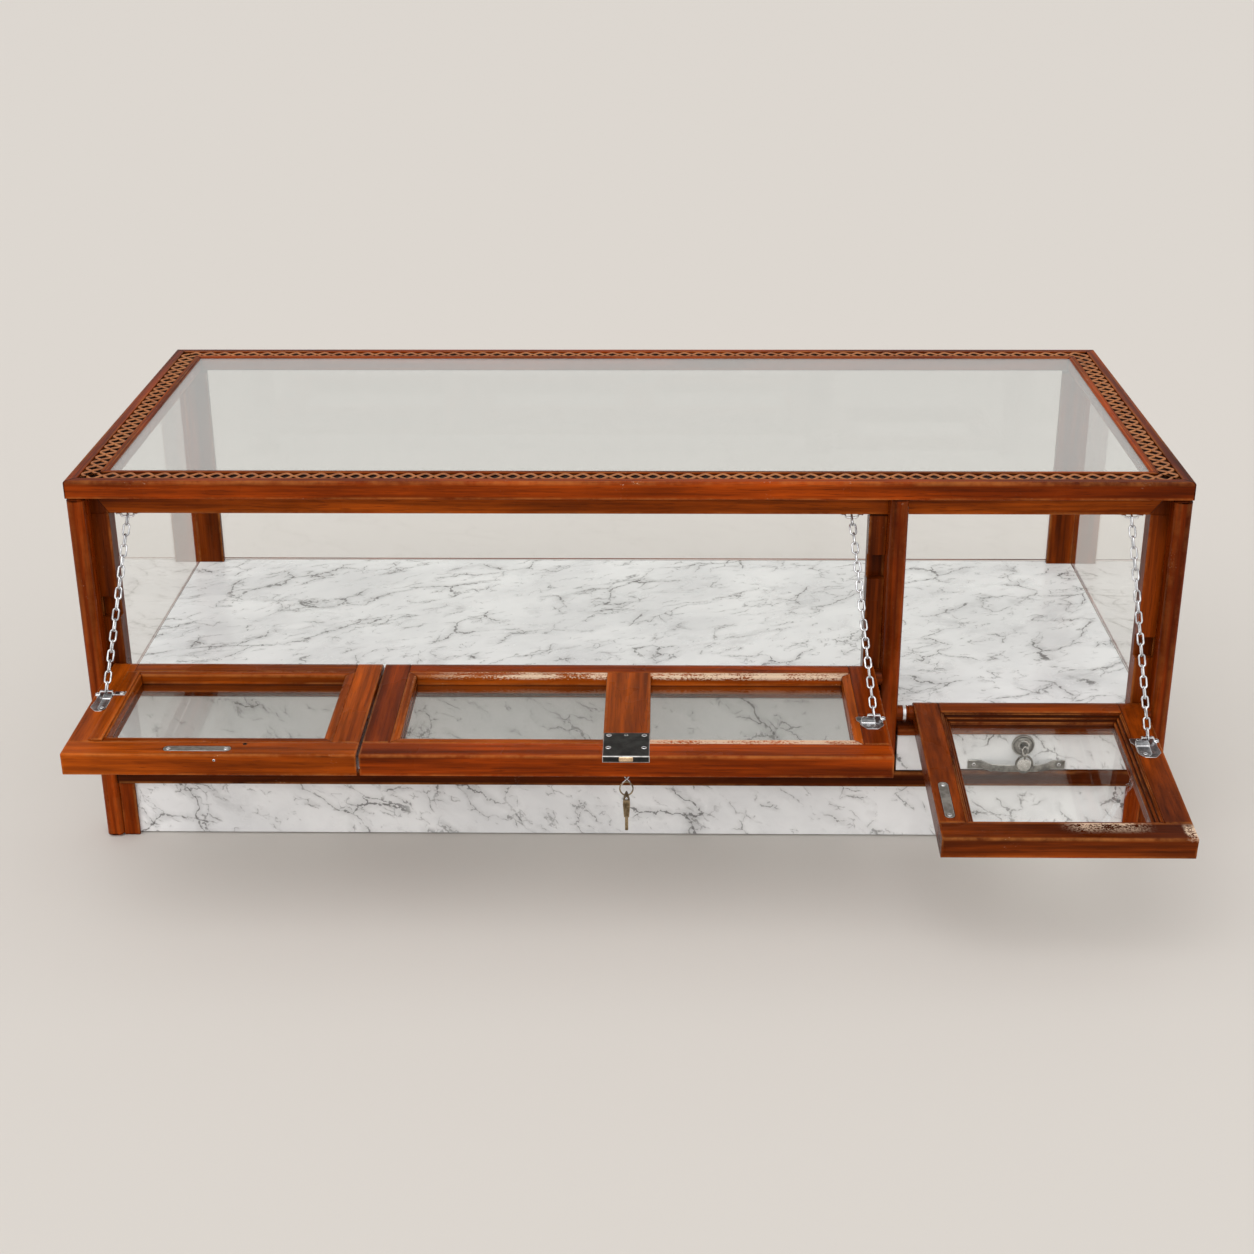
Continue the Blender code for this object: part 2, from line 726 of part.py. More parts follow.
def staple_outline(face, up):
    """A saddle on a face: two feet with a bridge between them, rising along up."""
    half = STAPLE_SPAN / 2
    steps = [
        (-half - STAPLE_FOOT - STAPLE_THICK, 0),
        (-half, 0),
        (-half, STAPLE_RISE),
        (half, STAPLE_RISE),
        (half, 0),
        (half + STAPLE_FOOT + STAPLE_THICK, 0),
        (half + STAPLE_FOOT + STAPLE_THICK, STAPLE_THICK),
        (half + STAPLE_THICK, STAPLE_THICK),
        (half + STAPLE_THICK, STAPLE_RISE + STAPLE_THICK),
        (-half - STAPLE_THICK, STAPLE_RISE + STAPLE_THICK),
        (-half - STAPLE_THICK, STAPLE_THICK),
        (-half - STAPLE_FOOT - STAPLE_THICK, STAPLE_THICK),
    ]
    return [(across, face + up * (rise + FIT)) for across, rise in steps]


def staple(name, x, y, face, up, parent):
    """A zinc saddle that a chain's end link is caught in."""
    outline = [(x + across, z) for across, z in staple_outline(face, up)]
    half = STAPLE_WIDTH / 2
    return piece(name, slab([outline], y - half, y + half, "front"), ZINC, parent)


def flap(name, left, right, axis_z, tilt, muntin_x=None):
    """A framed flap: its stiles stand between the pivot and a full-width free rail.

    Returns its pivot frame, its members and its length past the pivot.
    """
    pivot = axis_empty(f"{name}_axis", (0, AXIS_Y, axis_z), counter, tilt)
    reach = flap_length(axis_z) - FLAP_RADIUS
    glass_left = left + FLAP_MEMBER
    glass_right = right - FLAP_MEMBER
    near = FLAP_RADIUS - FLAP_MEMBER
    far = FLAP_MEMBER - reach
    stile_side = flap_outline(-far - FIT)
    members = {
        "left_stile": slab([stile_side], left, glass_left, "side"),
        "right_stile": slab([stile_side], glass_right, right, "side"),
        "hinge_rail": slab([flap_outline(-near)], glass_left + FIT, glass_right - FIT, "side"),
        "free_rail": block((left, -reach, -FLAP_RADIUS), (right, far, FLAP_RADIUS)),
    }
    lights = [(glass_left, glass_right)]
    if muntin_x is not None:
        muntin_left = muntin_x - MUNTIN_WIDTH / 2
        muntin_right = muntin_x + MUNTIN_WIDTH / 2
        members["muntin"] = block(
            (muntin_left, far + FIT, -FLAP_RADIUS), (muntin_right, near - FIT, FLAP_RADIUS)
        )
        lights = [(glass_left, muntin_left), (muntin_right, glass_right)]
    made = {key: piece(f"{name}_{key}", mesh, WOOD, pivot) for key, mesh in members.items()}
    for number, (light_left, light_right) in enumerate(lights, 1):
        for member in made.values():
            rebate = pane_box(light_left, light_right, near, far, 0.0, -2 * FLAP_RADIUS)
            shape_with(member, rebate)
        pane_name = f"{name}_pane" if len(lights) == 1 else f"{name}_pane_{number}"
        pane = pane_box(light_left, light_right, near, far, FIT, PANE_TOP - PANE_THICK)
        piece(pane_name, pane, GLASS, pivot)
    return pivot, made, reach


split = FLAP_SPLIT_GAP / 2
left_edges = (FLAP_SIDE_GAP - MOULDING_X, FLAP_SPLIT_X - split)
middle_edges = (FLAP_SPLIT_X + split, BEAD_LEFT - FLAP_SIDE_GAP)
right_edges = (BEAD_RIGHT + RIGHT_FLAP_INNER_GAP, MOULDING_X - RIGHT_FLAP_OUTER_GAP)
lock_x = sum(middle_edges) / 2

left_pivot, left_members, left_reach = flap("left_flap", *left_edges, LEFT_AXIS_Z, LEFT_TILT)
middle_pivot, middle_members, middle_reach = flap(
    "middle_flap", *middle_edges, LEFT_AXIS_Z, LEFT_TILT, lock_x
)
right_pivot, right_members, right_reach = flap("right_flap", *right_edges, RIGHT_AXIS_Z, RIGHT_TILT)

trunnion(left_members["left_stile"], left_edges[0], -MOULDING_X)
trunnion(middle_members["right_stile"], middle_edges[1], BEAD_LEFT)
trunnion(right_members["left_stile"], right_edges[0], BEAD_RIGHT)
trunnion(right_members["right_stile"], right_edges[1], MOULDING_X)
pin_hole(left_members["right_stile"], left_edges[1], -1)
pin_hole(middle_members["left_stile"], middle_edges[0], 1)


# Chains: each runs from a staple under the stop strip to a staple on its flap's stile
def bar_clearance(along):
    """How far past a staple bar's middle the wire of the link round it lies, along the chain."""
    return abs(along.y) * STAPLE_WIDTH / 2 + abs(along.z) * STAPLE_THICK / 2 + LINK_SLACK


def link(middle, along, inner_length, flat):
    """One chain link, lying in the plane of X and the chain, or square to X if flat is false."""
    outer_end = LINK_WIDTH / 2
    inner_end = outer_end - LINK_WIRE
    half_straight = inner_length / 2 - inner_end
    outlines = []
    for radius, steps in ((outer_end, 4), (inner_end, 4)):
        outlines.append(
            arc((half_straight, 0), radius, -90, 90, steps) + arc((-half_straight, 0), radius, 90, 270, steps)
        )
    mesh = slab(outlines, -LINK_WIRE / 2, LINK_WIRE / 2, "plan")
    across = Vector((1, 0, 0))
    across = (across - along * across.dot(along)).normalized()
    normal = along.cross(across)
    if not flat:
        across, normal = normal, -across
    turn = Matrix((along, across, normal)).transposed().to_4x4()
    mesh.transform(Matrix.Translation(middle) @ turn)
    return mesh


def joined_links(name, meshes, parent):
    """Links of one chain length, welded where they hook each other so that they are one solid."""
    run = bpy.data.collections.new(f"{name}_links")
    cutters.children.link(run)
    for number, mesh in enumerate(meshes[1:], 2):
        other = bpy.data.objects.new(f"{name}_link_{number}", mesh)
        other.parent = parent
        other.hide_render = True
        other.display_type = "WIRE"
        run.objects.link(other)
    made = piece(name, meshes[0], ZINC, parent)
    boolean = made.modifiers.new("links", "BOOLEAN")
    boolean.operation = "UNION"
    boolean.solver = "EXACT"
    boolean.operand_type = "COLLECTION"
    boolean.collection = run
    return made


def chain(name, hook_x, staple_x, staple_reach, axis_z, tilt):
    """A chain in two lengths, which fold double at the knee between them when the flap is shut."""
    bar = FIT + STAPLE_RISE + STAPLE_THICK / 2
    hook = Vector((hook_x, FRONT_RECESS + STOP_STRIP_THICK / 2, STRIP_UNDER - bar))
    turn = Matrix.Rotation(tilt, 3, "X")
    eye = Vector((staple_x, AXIS_Y, axis_z)) + turn @ Vector((0, -staple_reach, FLAP_RADIUS + bar))
    shut_eye = Vector((staple_x, AXIS_Y + FLAP_RADIUS + bar, axis_z + staple_reach))
    along = (eye - hook).normalized()
    end_gap = bar_clearance(along)
    start = hook - along * end_gap
    length = (eye - hook).length + 2 * end_gap
    count = 2 * round((length / LINK_PITCH - 1) / 2) + 1
    inner = (length - (count - 2) * LINK_WELD + KNEE_GAP) / count
    lower_run = (length - (shut_eye - hook).length) / 2
    upper_count = count - round(lower_run / LINK_PITCH)
    places = []
    travelled = 0.0
    for number in range(count):
        places.append(start + along * (travelled + inner / 2))
        travelled += inner + (-KNEE_GAP if number == upper_count - 1 else LINK_WELD)
    knee = (places[upper_count - 1] + places[upper_count]) / 2
    hook_axis = axis_empty(f"{name}_hook_axis", hook, counter)
    knee_axis = axis_empty(f"{name}_knee_axis", knee - hook, hook_axis)
    axis_empty(f"{name}_eye_rest", eye, counter)
    axis_empty(f"{name}_eye_shut", shut_eye, counter)
    upper = [
        link(place - hook, along, inner, flat=number % 2 == 1)
        for number, place in enumerate(places[:upper_count])
    ]
    lower = [
        link(place - knee, along, inner, flat=number % 2 == 1)
        for number, place in enumerate(places[upper_count:], upper_count)
    ]
    joined_links(f"{name}_upper", upper, hook_axis)
    joined_links(f"{name}_lower", lower, knee_axis)
    staple(f"{name}_hook", hook_x, hook.y, STRIP_UNDER, -1, counter)


def staple_notch(target, x, axis_z, reach):
    """A notch in a stop strip that takes the flap's staple and end link when the flap is shut."""
    half = STAPLE_SPAN / 2 + STAPLE_THICK + STAPLE_FOOT + NOTCH_MARGIN
    middle_z = axis_z + reach
    shape_with(
        target,
        block(
            (x - half, FRONT_RECESS - NOTCH_DEPTH, middle_z - NOTCH_HEIGHT / 2),
            (x + half, FRONT_RECESS + NOTCH_DEPTH, middle_z + NOTCH_HEIGHT / 2),
        ),
    )


left_staple_x = left_edges[0] + STAPLE_INSET
middle_staple_x = middle_edges[1] - STAPLE_INSET
right_staple_x = right_edges[1] - STAPLE_INSET
left_hook_x = HOOK_INSET - strip_reach
middle_hook_x = BEAD_LEFT - MULLION_STRIP - HOOK_INSET
right_hook_x = strip_reach - HOOK_INSET
chain_runs = (
    ("left", left_pivot, left_hook_x, left_staple_x, LEFT_STAPLE_REACH, LEFT_AXIS_Z, LEFT_TILT),
    ("middle", middle_pivot, middle_hook_x, middle_staple_x, MIDDLE_STAPLE_REACH, LEFT_AXIS_Z, LEFT_TILT),
    ("right", right_pivot, right_hook_x, right_staple_x, RIGHT_STAPLE_REACH, RIGHT_AXIS_Z, RIGHT_TILT),
)
for run_name, pivot, hook_x, staple_x, staple_reach, axis_z, tilt in chain_runs:
    staple(f"{run_name}_flap_staple", staple_x, -staple_reach, FLAP_RADIUS, 1, pivot)
    chain(f"{run_name}_chain", hook_x, staple_x, staple_reach, axis_z, tilt)
staple_notch(left_post, left_staple_x, LEFT_AXIS_Z, LEFT_STAPLE_REACH)
staple_notch(mullion, middle_staple_x, LEFT_AXIS_Z, MIDDLE_STAPLE_REACH)
staple_notch(right_post, right_staple_x, RIGHT_AXIS_Z, RIGHT_STAPLE_REACH)

# Lock: a plate let into the free rail and muntin, its bolt and the keys that hang from it
lock_edge = -middle_reach


def lock_outline(grow, past):
    """The lock's bent plate from the side: cap on the inner face, selvedge over the free edge."""
    return [
        (lock_edge - past, FLAP_RADIUS + past),
        (lock_edge + LOCK_LENGTH + grow, FLAP_RADIUS + past),
        (lock_edge + LOCK_LENGTH + grow, FLAP_RADIUS - LOCK_PLATE - grow),
        (lock_edge + LOCK_PLATE + grow, FLAP_RADIUS - LOCK_PLATE - grow),
        (lock_edge + LOCK_PLATE + grow, FLAP_RADIUS - SELVEDGE_HEIGHT - grow),
        (lock_edge - past, FLAP_RADIUS - SELVEDGE_HEIGHT - grow),
    ]


half_lock = LOCK_WIDTH / 2
lock_plate = piece(
    "lock_plate",
    slab([lock_outline(0, 0)], lock_x - half_lock, lock_x + half_lock, "side"),
    BLACK_STEEL,
    middle_pivot,
)
for member in ("free_rail", "muntin"):
    pocket = slab([lock_outline(FIT, LOCK_PLATE)], lock_x - half_lock - FIT, lock_x + half_lock + FIT, "side")
    shape_with(middle_members[member], pocket)


def bolt_box(grow, start, end):
    """The bolt's box, or the channel that it slides in."""
    across = BOLT_WIDTH / 2 + grow
    up = BOLT_THICK / 2 + grow
    return block((lock_x - across, start, BOLT_Z - up), (lock_x + across, end, BOLT_Z + up))


for target in (lock_plate, middle_members["free_rail"]):
    channel = bolt_box(BOLT_CLEAR, lock_edge - LOCK_PLATE, lock_edge + BOLT_LENGTH + BOLT_CLEAR)
    shape_with(target, channel)
bolt_axis = axis_empty("lock_bolt_slide", (lock_x, lock_edge, BOLT_Z), middle_pivot)
bolt_mesh = bolt_box(0, lock_edge, lock_edge + BOLT_LENGTH)
bolt_mesh.transform(Matrix.Translation((-lock_x, -lock_edge, -BOLT_Z)))
piece("lock_bolt", bolt_mesh, BRASS, bolt_axis)
strike_x = BOLT_WIDTH / 2 + STRIKE_MARGIN
strike_y = BOLT_THICK / 2 + STRIKE_MARGIN
shape_with(
    front_rail,
    block(
        (lock_x - strike_x, AXIS_Y + BOLT_Z - strike_y, RAIL_UNDER - STRIKE_MARGIN),
        (lock_x + strike_x, AXIS_Y + BOLT_Z + strike_y, RAIL_UNDER + BOLT_THROW + FIT),
    ),
)

key_y = lock_edge + KEY_INSET
key_bore = rod(
    (lock_x, key_y, -2 * FLAP_RADIUS),
    (lock_x, key_y, KEY_SEAT - FLAP_RADIUS + FIT),
    KEY_RADIUS + PIVOT_CLEAR,
    16,
)
shape_with(middle_members["free_rail"], key_bore)
key_axis = axis_empty("lock_key_axis", (lock_x, key_y, -FLAP_RADIUS), middle_pivot)
bow_z = -KEY_SHANK - BOW_HOLE
lock_key = piece("lock_key", rod((0, 0, KEY_SEAT), (0, 0, -KEY_SHANK), KEY_RADIUS, 12), BRASS, key_axis)
bow_outlines = [arc((0, bow_z), radius, 0, RING_ARC, RING_STEPS) for radius in (BOW_RADIUS, BOW_HOLE)]
shape_with(lock_key, slab(bow_outlines, -BOW_THICK / 2, BOW_THICK / 2, "front"), "UNION")

ring_hole = SPLIT_RING_RADIUS - SPLIT_RING_WIRE
ring_pivot = bow_z - (BOW_RADIUS + BOW_HOLE) / 2
ring_middle = bow_z - BOW_HOLE + SPLIT_RING_SLACK - ring_hole - ring_pivot
spare_axis = axis_empty("spare_key_axis", (lock_x, key_y, ring_pivot - FLAP_RADIUS), middle_pivot)
ring_radii = (SPLIT_RING_RADIUS, ring_hole)
ring_outlines = [arc((0, ring_middle), radius, 0, RING_ARC, RING_STEPS) for radius in ring_radii]
spare_key = piece(
    "spare_key", slab(ring_outlines, -SPLIT_RING_WIRE / 2, SPLIT_RING_WIRE / 2, "side"), BRASS, spare_axis
)
head_z = ring_middle - SPLIT_RING_RADIUS - SPARE_HEAD / 2
half_blade = SPARE_BLADE_WIDTH / 2
shoulder = math.degrees(math.asin(half_blade / SPARE_HEAD))
spare_outline = arc((0, head_z), SPARE_HEAD, shoulder - 90, 270 - shoulder, 12)
blade_end = head_z - SPARE_HEAD - SPARE_BLADE_LENGTH
spare_outline += [(-half_blade, blade_end), (half_blade, blade_end)]
shape_with(spare_key, slab([spare_outline], -SPARE_THICK / 2, SPARE_THICK / 2, "front"), "UNION")

# Drawer: marble-faced front, open box, bow handle, and a rose with its drop pull
drawer = axis_empty("drawer_slide", (DRAWER_LEFT, DRAWER_FRONT_Y, DRAWER_BOX_BOTTOM), counter)
to_drawer = Matrix.Translation(-drawer.location)


def in_drawer(mesh):
    """A mesh given in the counter's frame, moved into the drawer's."""
    mesh.transform(to_drawer)
    return mesh


front_back = DRAWER_FRONT_Y + DRAWER_FRONT_THICK
drawer_front = block(
    (BEAD_RIGHT + DRAWER_GAP, DRAWER_FRONT_Y, DRAWER_FRONT_BOTTOM),
    (MOULDING_X - DRAWER_GAP, front_back, DRAWER_FRONT_TOP),
)
piece("drawer_front", in_drawer(drawer_front), MARBLE, drawer)
box_start = front_back + FIT
drawer_box = piece(
    "drawer_box",
    in_drawer(
        block(
            (DRAWER_LEFT, box_start, DRAWER_BOX_BOTTOM),
            (DRAWER_RIGHT, box_start + DRAWER_DEPTH, DRAWER_BOX_TOP),
        )
    ),
    DRAWER_WOOD,
    drawer,
)
hollow = block(
    (DRAWER_LEFT + DRAWER_WALL, box_start + DRAWER_WALL, DRAWER_BOX_BOTTOM + DRAWER_FLOOR),
    (DRAWER_RIGHT - DRAWER_WALL, box_start + DRAWER_DEPTH - DRAWER_WALL, 2 * DRAWER_BOX_TOP),
)
shape_with(drawer_box, in_drawer(hollow))


def handle_rise(across):
    """How far the bow's back stands off the drawer front: nothing at its feet, full between the bends."""
    share = (HANDLE_LENGTH / 2 - HANDLE_FOOT - abs(across)) / HANDLE_BEND
    share = min(max(share, 0.0), 1.0)
    return (HANDLE_RISE - HANDLE_THICK) * share * share * (3 - 2 * share)


bend_start = HANDLE_LENGTH / 2 - HANDLE_FOOT
stations = [HANDLE_LENGTH / 2] + [bend_start - HANDLE_BEND * n / 6 for n in range(7)]
stations = [-s for s in stations] + stations[::-1]
face_y = DRAWER_FRONT_Y - FIT
bow_back = [(HANDLE_X + s, face_y - handle_rise(s)) for s in stations]
bow_front = [(HANDLE_X + s, face_y - handle_rise(s) - HANDLE_THICK) for s in reversed(stations)]
handle_z = (HANDLE_Z - HANDLE_HEIGHT / 2, HANDLE_Z + HANDLE_HEIGHT / 2)
piece("drawer_handle", in_drawer(slab([bow_back + bow_front], *handle_z, "plan")), PEWTER, drawer)

neck_end = PULL_STANDOFF + PULL_WIRE_RADIUS + FIT
rose_profile = [
    (0, neck_end + ROSE_KNOB_LENGTH),
    (ROSE_KNOB_RADIUS, neck_end + ROSE_KNOB_LENGTH),
    (ROSE_KNOB_RADIUS, neck_end),
    (ROSE_NECK_RADIUS, neck_end),
    (ROSE_NECK_RADIUS, ROSE_THICK),
    (ROSE_RADIUS, ROSE_THICK),
    (ROSE_RADIUS, 0),
    (0, 0),
]
rose_mesh = bpy.data.meshes.new("ring_rose")
rose_edges = [(n, n + 1) for n in range(len(rose_profile) - 1)]
rose_mesh.from_pydata([(radius, 0, up) for radius, up in rose_profile], rose_edges, [])
rose_mesh.materials.append(material(PEWTER))
rose = bpy.data.objects.new("ring_rose", rose_mesh)
rose.parent = drawer
rose.location = to_drawer @ Vector((ROSE_X, face_y, ROSE_Z))
rose.rotation_euler.x = math.pi / 2
parts.objects.link(rose)
turning = rose.modifiers.new("turned", "SCREW")
turning.steps = 24
turning.render_steps = 24
turning.use_merge_vertices = True
turning.merge_threshold = 0.00001

pull_top = ROSE_NECK_RADIUS + FIT + PULL_WIRE_RADIUS
pull_place = to_drawer @ Vector((ROSE_X, face_y - PULL_STANDOFF, ROSE_Z + pull_top))
pull_axis = axis_empty("pull_ring_axis", pull_place, drawer)
pull_curve = bpy.data.curves.new("pull_ring", "CURVE")
pull_curve.dimensions = "3D"
pull_curve.bevel_depth = PULL_WIRE_RADIUS
pull_curve.bevel_resolution = 2
pull_spline = pull_curve.splines.new("POLY")
pull_spline.points.add(PULL_POINTS - 1)
pull_spline.use_cyclic_u = True
for n, point in enumerate(pull_spline.points):
    swing = 2 * math.pi * n / PULL_POINTS
    across = (PULL_WIDTH / 2 - PULL_TAPER * (1 + math.cos(swing))) * math.sin(swing)
    point.co = (across, 0, PULL_LENGTH / 2 * (math.cos(swing) - 1), 1.0)
pull_ring = piece("pull_ring", meshed(pull_curve), PEWTER, pull_axis)
disc_face = PULL_DISC_THICK / 2
pull_disc = rod((0, -disc_face, -PULL_DISC_DROP), (0, disc_face, -PULL_DISC_DROP), PULL_DISC_RADIUS)
shape_with(pull_ring, pull_disc, "UNION")
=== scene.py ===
import json
import math
import zlib
import bpy
import numpy as np
from mathutils import Matrix, Vector


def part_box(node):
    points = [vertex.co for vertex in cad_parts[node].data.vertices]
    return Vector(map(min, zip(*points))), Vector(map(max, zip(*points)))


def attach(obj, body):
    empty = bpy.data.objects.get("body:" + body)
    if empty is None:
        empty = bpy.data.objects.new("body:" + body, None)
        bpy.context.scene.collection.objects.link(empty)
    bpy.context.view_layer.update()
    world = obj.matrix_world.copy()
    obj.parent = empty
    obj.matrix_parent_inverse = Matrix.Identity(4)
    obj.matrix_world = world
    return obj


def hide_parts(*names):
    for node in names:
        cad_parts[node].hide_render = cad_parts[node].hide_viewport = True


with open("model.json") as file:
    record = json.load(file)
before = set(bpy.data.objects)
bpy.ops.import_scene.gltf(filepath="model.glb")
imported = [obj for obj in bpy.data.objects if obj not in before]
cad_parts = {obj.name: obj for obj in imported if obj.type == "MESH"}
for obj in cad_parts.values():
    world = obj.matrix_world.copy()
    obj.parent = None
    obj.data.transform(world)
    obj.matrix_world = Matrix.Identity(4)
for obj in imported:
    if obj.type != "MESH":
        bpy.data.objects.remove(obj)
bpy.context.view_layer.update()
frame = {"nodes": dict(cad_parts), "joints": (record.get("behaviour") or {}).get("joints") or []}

# Corner posts. Each is a rounded hardwood moulding with a thinner strip glued behind it, stained
# red-brown and varnished. The top frame sits on them and the bases run between them.
FRONT_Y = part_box("front_left_post")[0].y
BACK_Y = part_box("rear_left_post")[1].y
HALF_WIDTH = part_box("front_right_post")[1].x
POST_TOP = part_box("front_left_post")[1].z
SIDES = {"left": -1, "right": 1}


def feed(tree, node, inputs):
    """Fills a node's inputs: a value that is another node's socket is linked, any other is set."""
    for key, value in inputs.items():
        if isinstance(value, bpy.types.NodeSocket):
            tree.links.new(value, node.inputs[key])
        else:
            node.inputs[key].default_value = value


def add(tree, kind, inputs=None, **settings):
    """A new node with its settings and its inputs."""
    node = tree.nodes.new(kind)
    for key, value in settings.items():
        setattr(node, key, value)
    feed(tree, node, inputs or {})
    return node


def calc(tree, operation, first, second=0.0, clamp=False):
    """One step of arithmetic on two values."""
    step = add(tree, "ShaderNodeMath", {0: first, 1: second}, operation=operation, use_clamp=clamp)
    return step.outputs[0]


def product(tree, first, *others):
    """Values multiplied together."""
    for other in others:
        first = calc(tree, "MULTIPLY", first, other)
    return first


def weighed(tree, *terms):
    """The sum of values, each given with its weight."""
    total = 0.0
    for value, weight in terms:
        total = calc(tree, "ADD", total, product(tree, value, weight))
    return total


def between(tree, value, low, high, to_low=0.0, to_high=1.0):
    """Value eased from to_low at low to to_high at high, and held beyond them."""
    inputs = {"Value": value, "From Min": low, "From Max": high, "To Min": to_low, "To Max": to_high}
    return add(tree, "ShaderNodeMapRange", inputs, interpolation_type="SMOOTHSTEP").outputs["Result"]


def tinted(tree, share, first, second, blend="MIX"):
    """Colour that goes from first to second as share goes from 0 to 1."""
    mix = add(tree, "ShaderNodeMix", {0: share, 6: first, 7: second}, data_type="RGBA", blend_type=blend)
    return mix.outputs[2]


def vector(tree, operation, first, second):
    """One step of arithmetic on two vectors."""
    return add(tree, "ShaderNodeVectorMath", {0: first, 1: second}, operation=operation).outputs[0]


def cloud(tree, place, stretch, detail=3.0, roughness=0.55, distortion=0.0):
    """Noise whose cells are 1/stretch metres long on each axis."""
    inputs = {"Vector": vector(tree, "MULTIPLY", place, stretch), "Scale": 1.0, "Detail": detail,
              "Roughness": roughness, "Distortion": distortion}
    return add(tree, "ShaderNodeTexNoise", inputs).outputs["Fac"]


def new_group(name, **inputs):
    """A shader node group with the named inputs, that gives a colour, a roughness and a height."""
    group = bpy.data.node_groups.new(name, "ShaderNodeTree")
    for socket, kind in inputs.items():
        group.interface.new_socket(socket, in_out="INPUT", socket_type="NodeSocket" + kind)
    for socket, kind in (("Color", "Color"), ("Roughness", "Float"), ("Height", "Float")):
        group.interface.new_socket(socket, in_out="OUTPUT", socket_type="NodeSocket" + kind)
    return group, add(group, "NodeGroupInput").outputs


BOARD_SHIFT = (7.3, 3.1, 5.7)
PORE_DARK = (0.035, 0.006, 0.001, 1)
# Edge colour: partly real wear to pale wood, partly a painted highlight along the arrises.
WORN_AND_HIGHLIT_WOOD = (0.54, 0.19, 0.045, 1)
BARE_WOOD = (0.72, 0.53, 0.38, 1)
OLD_POLISH = (0.018, 0.004, 0.001, 1)


def varnished_grain():
    """Stained hardwood whose grain runs along the first axis of Place.

    Long noise gives broad figure and fine streaks, and short noise gives open pores. Arris 1 is an
    edge where the stain is worn to pale wood and chipped, and lightened further by a painted highlight
    broken into lengths; -1 is a joint full of old polish.
    Flake 1 lifts the varnish off in pale flakes.
    """
    group, given = new_group("varnished_grain", Place="Vector", Board="Float", Arris="Float", Flake="Float",
                             Light="Color", Dark="Color")
    arris = given["Arris"]
    place = vector(group, "ADD", given["Place"], vector(group, "MULTIPLY", given["Board"], BOARD_SHIFT))
    figure = cloud(group, place, (1.7, 22, 22), 4, 0.6, 0.6)
    streak = cloud(group, place, (4.5, 170, 170), 3, 0.6)
    pores = between(group, cloud(group, place, (34, 900, 900), 1, 0.5), 0.6, 0.72)
    patch = cloud(group, place, (7, 7, 7), 3)
    colour = tinted(group, between(group, figure, 0.3, 0.72), given["Dark"], given["Light"])
    board_tone = between(group, given["Board"], 0, 1, 0.84, 1.12)
    streak_tone = between(group, streak, 0.3, 0.7, 0.6, 1.2)
    patch_tone = between(group, patch, 0.3, 0.7, 0.86, 1.12)
    colour = tinted(group, 1.0, colour, product(group, board_tone, streak_tone, patch_tone), "MULTIPLY")
    colour = tinted(group, product(group, pores, 0.5), colour, PORE_DARK)
    # Edges go pale by wear and by a painted highlight, broken into lengths by these two noises.
    short_break = cloud(group, place, (60, 60, 60), 4, 0.7)
    long_break = cloud(group, place, (9, 40, 40), 2)
    edge_breaks = between(group, weighed(group, (short_break, 0.55), (long_break, 0.6)), 0.42, 0.78)
    worn_and_highlit = calc(group, "MULTIPLY", arris, edge_breaks, clamp=True)
    colour = tinted(group, product(group, worn_and_highlit, 0.45), colour, WORN_AND_HIGHLIT_WOOD)
    chips = cloud(group, place, (330, 640, 640), 2, 0.6)
    chip_field = cloud(group, place, (19, 31, 31), 2)
    chip = product(group, between(group, chips, 0.66, 0.70), between(group, chip_field, 0.62, 0.68),
                   between(group, arris, 0.1, 0.7, 0.15, 1.0))
    lifting = weighed(group, (chips, 1.0), (chip_field, 0.8), (arris, 0.1))
    flaked = product(group, given["Flake"], between(group, lifting, 0.86, 0.95))
    chip = calc(group, "MAXIMUM", chip, flaked)
    colour = tinted(group, chip, colour, BARE_WOOD)
    colour = tinted(group, between(group, arris, -0.1, -1.0, 0.0, 0.9), colour, OLD_POLISH)
    rough = weighed(group, (between(group, patch, 0.25, 0.75, 0.2, 0.34), 1.0), (worn_and_highlit, 0.25))
    height = weighed(group, (streak, 0.35), (pores, -0.3), (chip, -1.5))
    add(group, "NodeGroupOutput", {"Color": colour, "Roughness": rough, "Height": height})
    return group


GRAIN = varnished_grain()
ALONG = {"x": (0, 0, 0), "y": (0, 0, -math.pi / 2), "z": (0, math.pi / 2, 0)}
STAINS = {
    "warm": ((0.305, 0.043, 0.0020, 1), (0.085, 0.0100, 0.0003, 1)),
    "honey": ((0.41, 0.075, 0.0036, 1), (0.150, 0.0220, 0.0007, 1)),
    "deep": ((0.25, 0.041, 0.0026, 1), (0.064, 0.0092, 0.0003, 1)),
    # The shade stain is painted shade: a darker stain that stands in for the shadow under the flaps.
    "shade": ((0.13, 0.021, 0.0016, 1), (0.034, 0.0052, 0.0003, 1)),
    "ebony": ((0.016, 0.005, 0.0020, 1), (0.006, 0.0020, 0.0010, 1)),
}
VARNISH_COAT = {"Specular IOR Level": 0.05, "Coat Weight": 0.015, "Coat Roughness": 0.1}
GRAIN_RELIEF = (0.35, 0.0004)
FLAKE_FADE = 0.3


def new_material(name, slot):
    """An empty node material with a Principled shader, and the record's slot kept on it."""
    material = bpy.data.materials.new(name)
    material.use_nodes = True
    material["slot"] = slot
    return material, material.node_tree, material.node_tree.nodes["Principled BSDF"]


def carried(tree, name):
    """A value that the piece's own mesh carries."""
    return add(tree, "ShaderNodeAttribute", attribute_name=name).outputs["Fac"]


def object_place(tree, turn=(0, 0, 0), shift=(0, 0, 0)):
    """The Object coordinate, turned and shifted."""
    place = add(tree, "ShaderNodeTexCoord").outputs["Object"]
    return add(tree, "ShaderNodeMapping", {"Vector": place, "Rotation": turn, "Location": shift}).outputs[0]


def cover(tree, shader, colour, rough, height, relief):
    """Colour, roughness and bump on a Principled shader. Relief is the bump's strength and distance."""
    bump = add(tree, "ShaderNodeBump", {"Height": height, "Strength": relief[0], "Distance": relief[1]})
    feed(tree, shader, {"Base Color": colour, "Roughness": rough, "Normal": bump.outputs[0]})


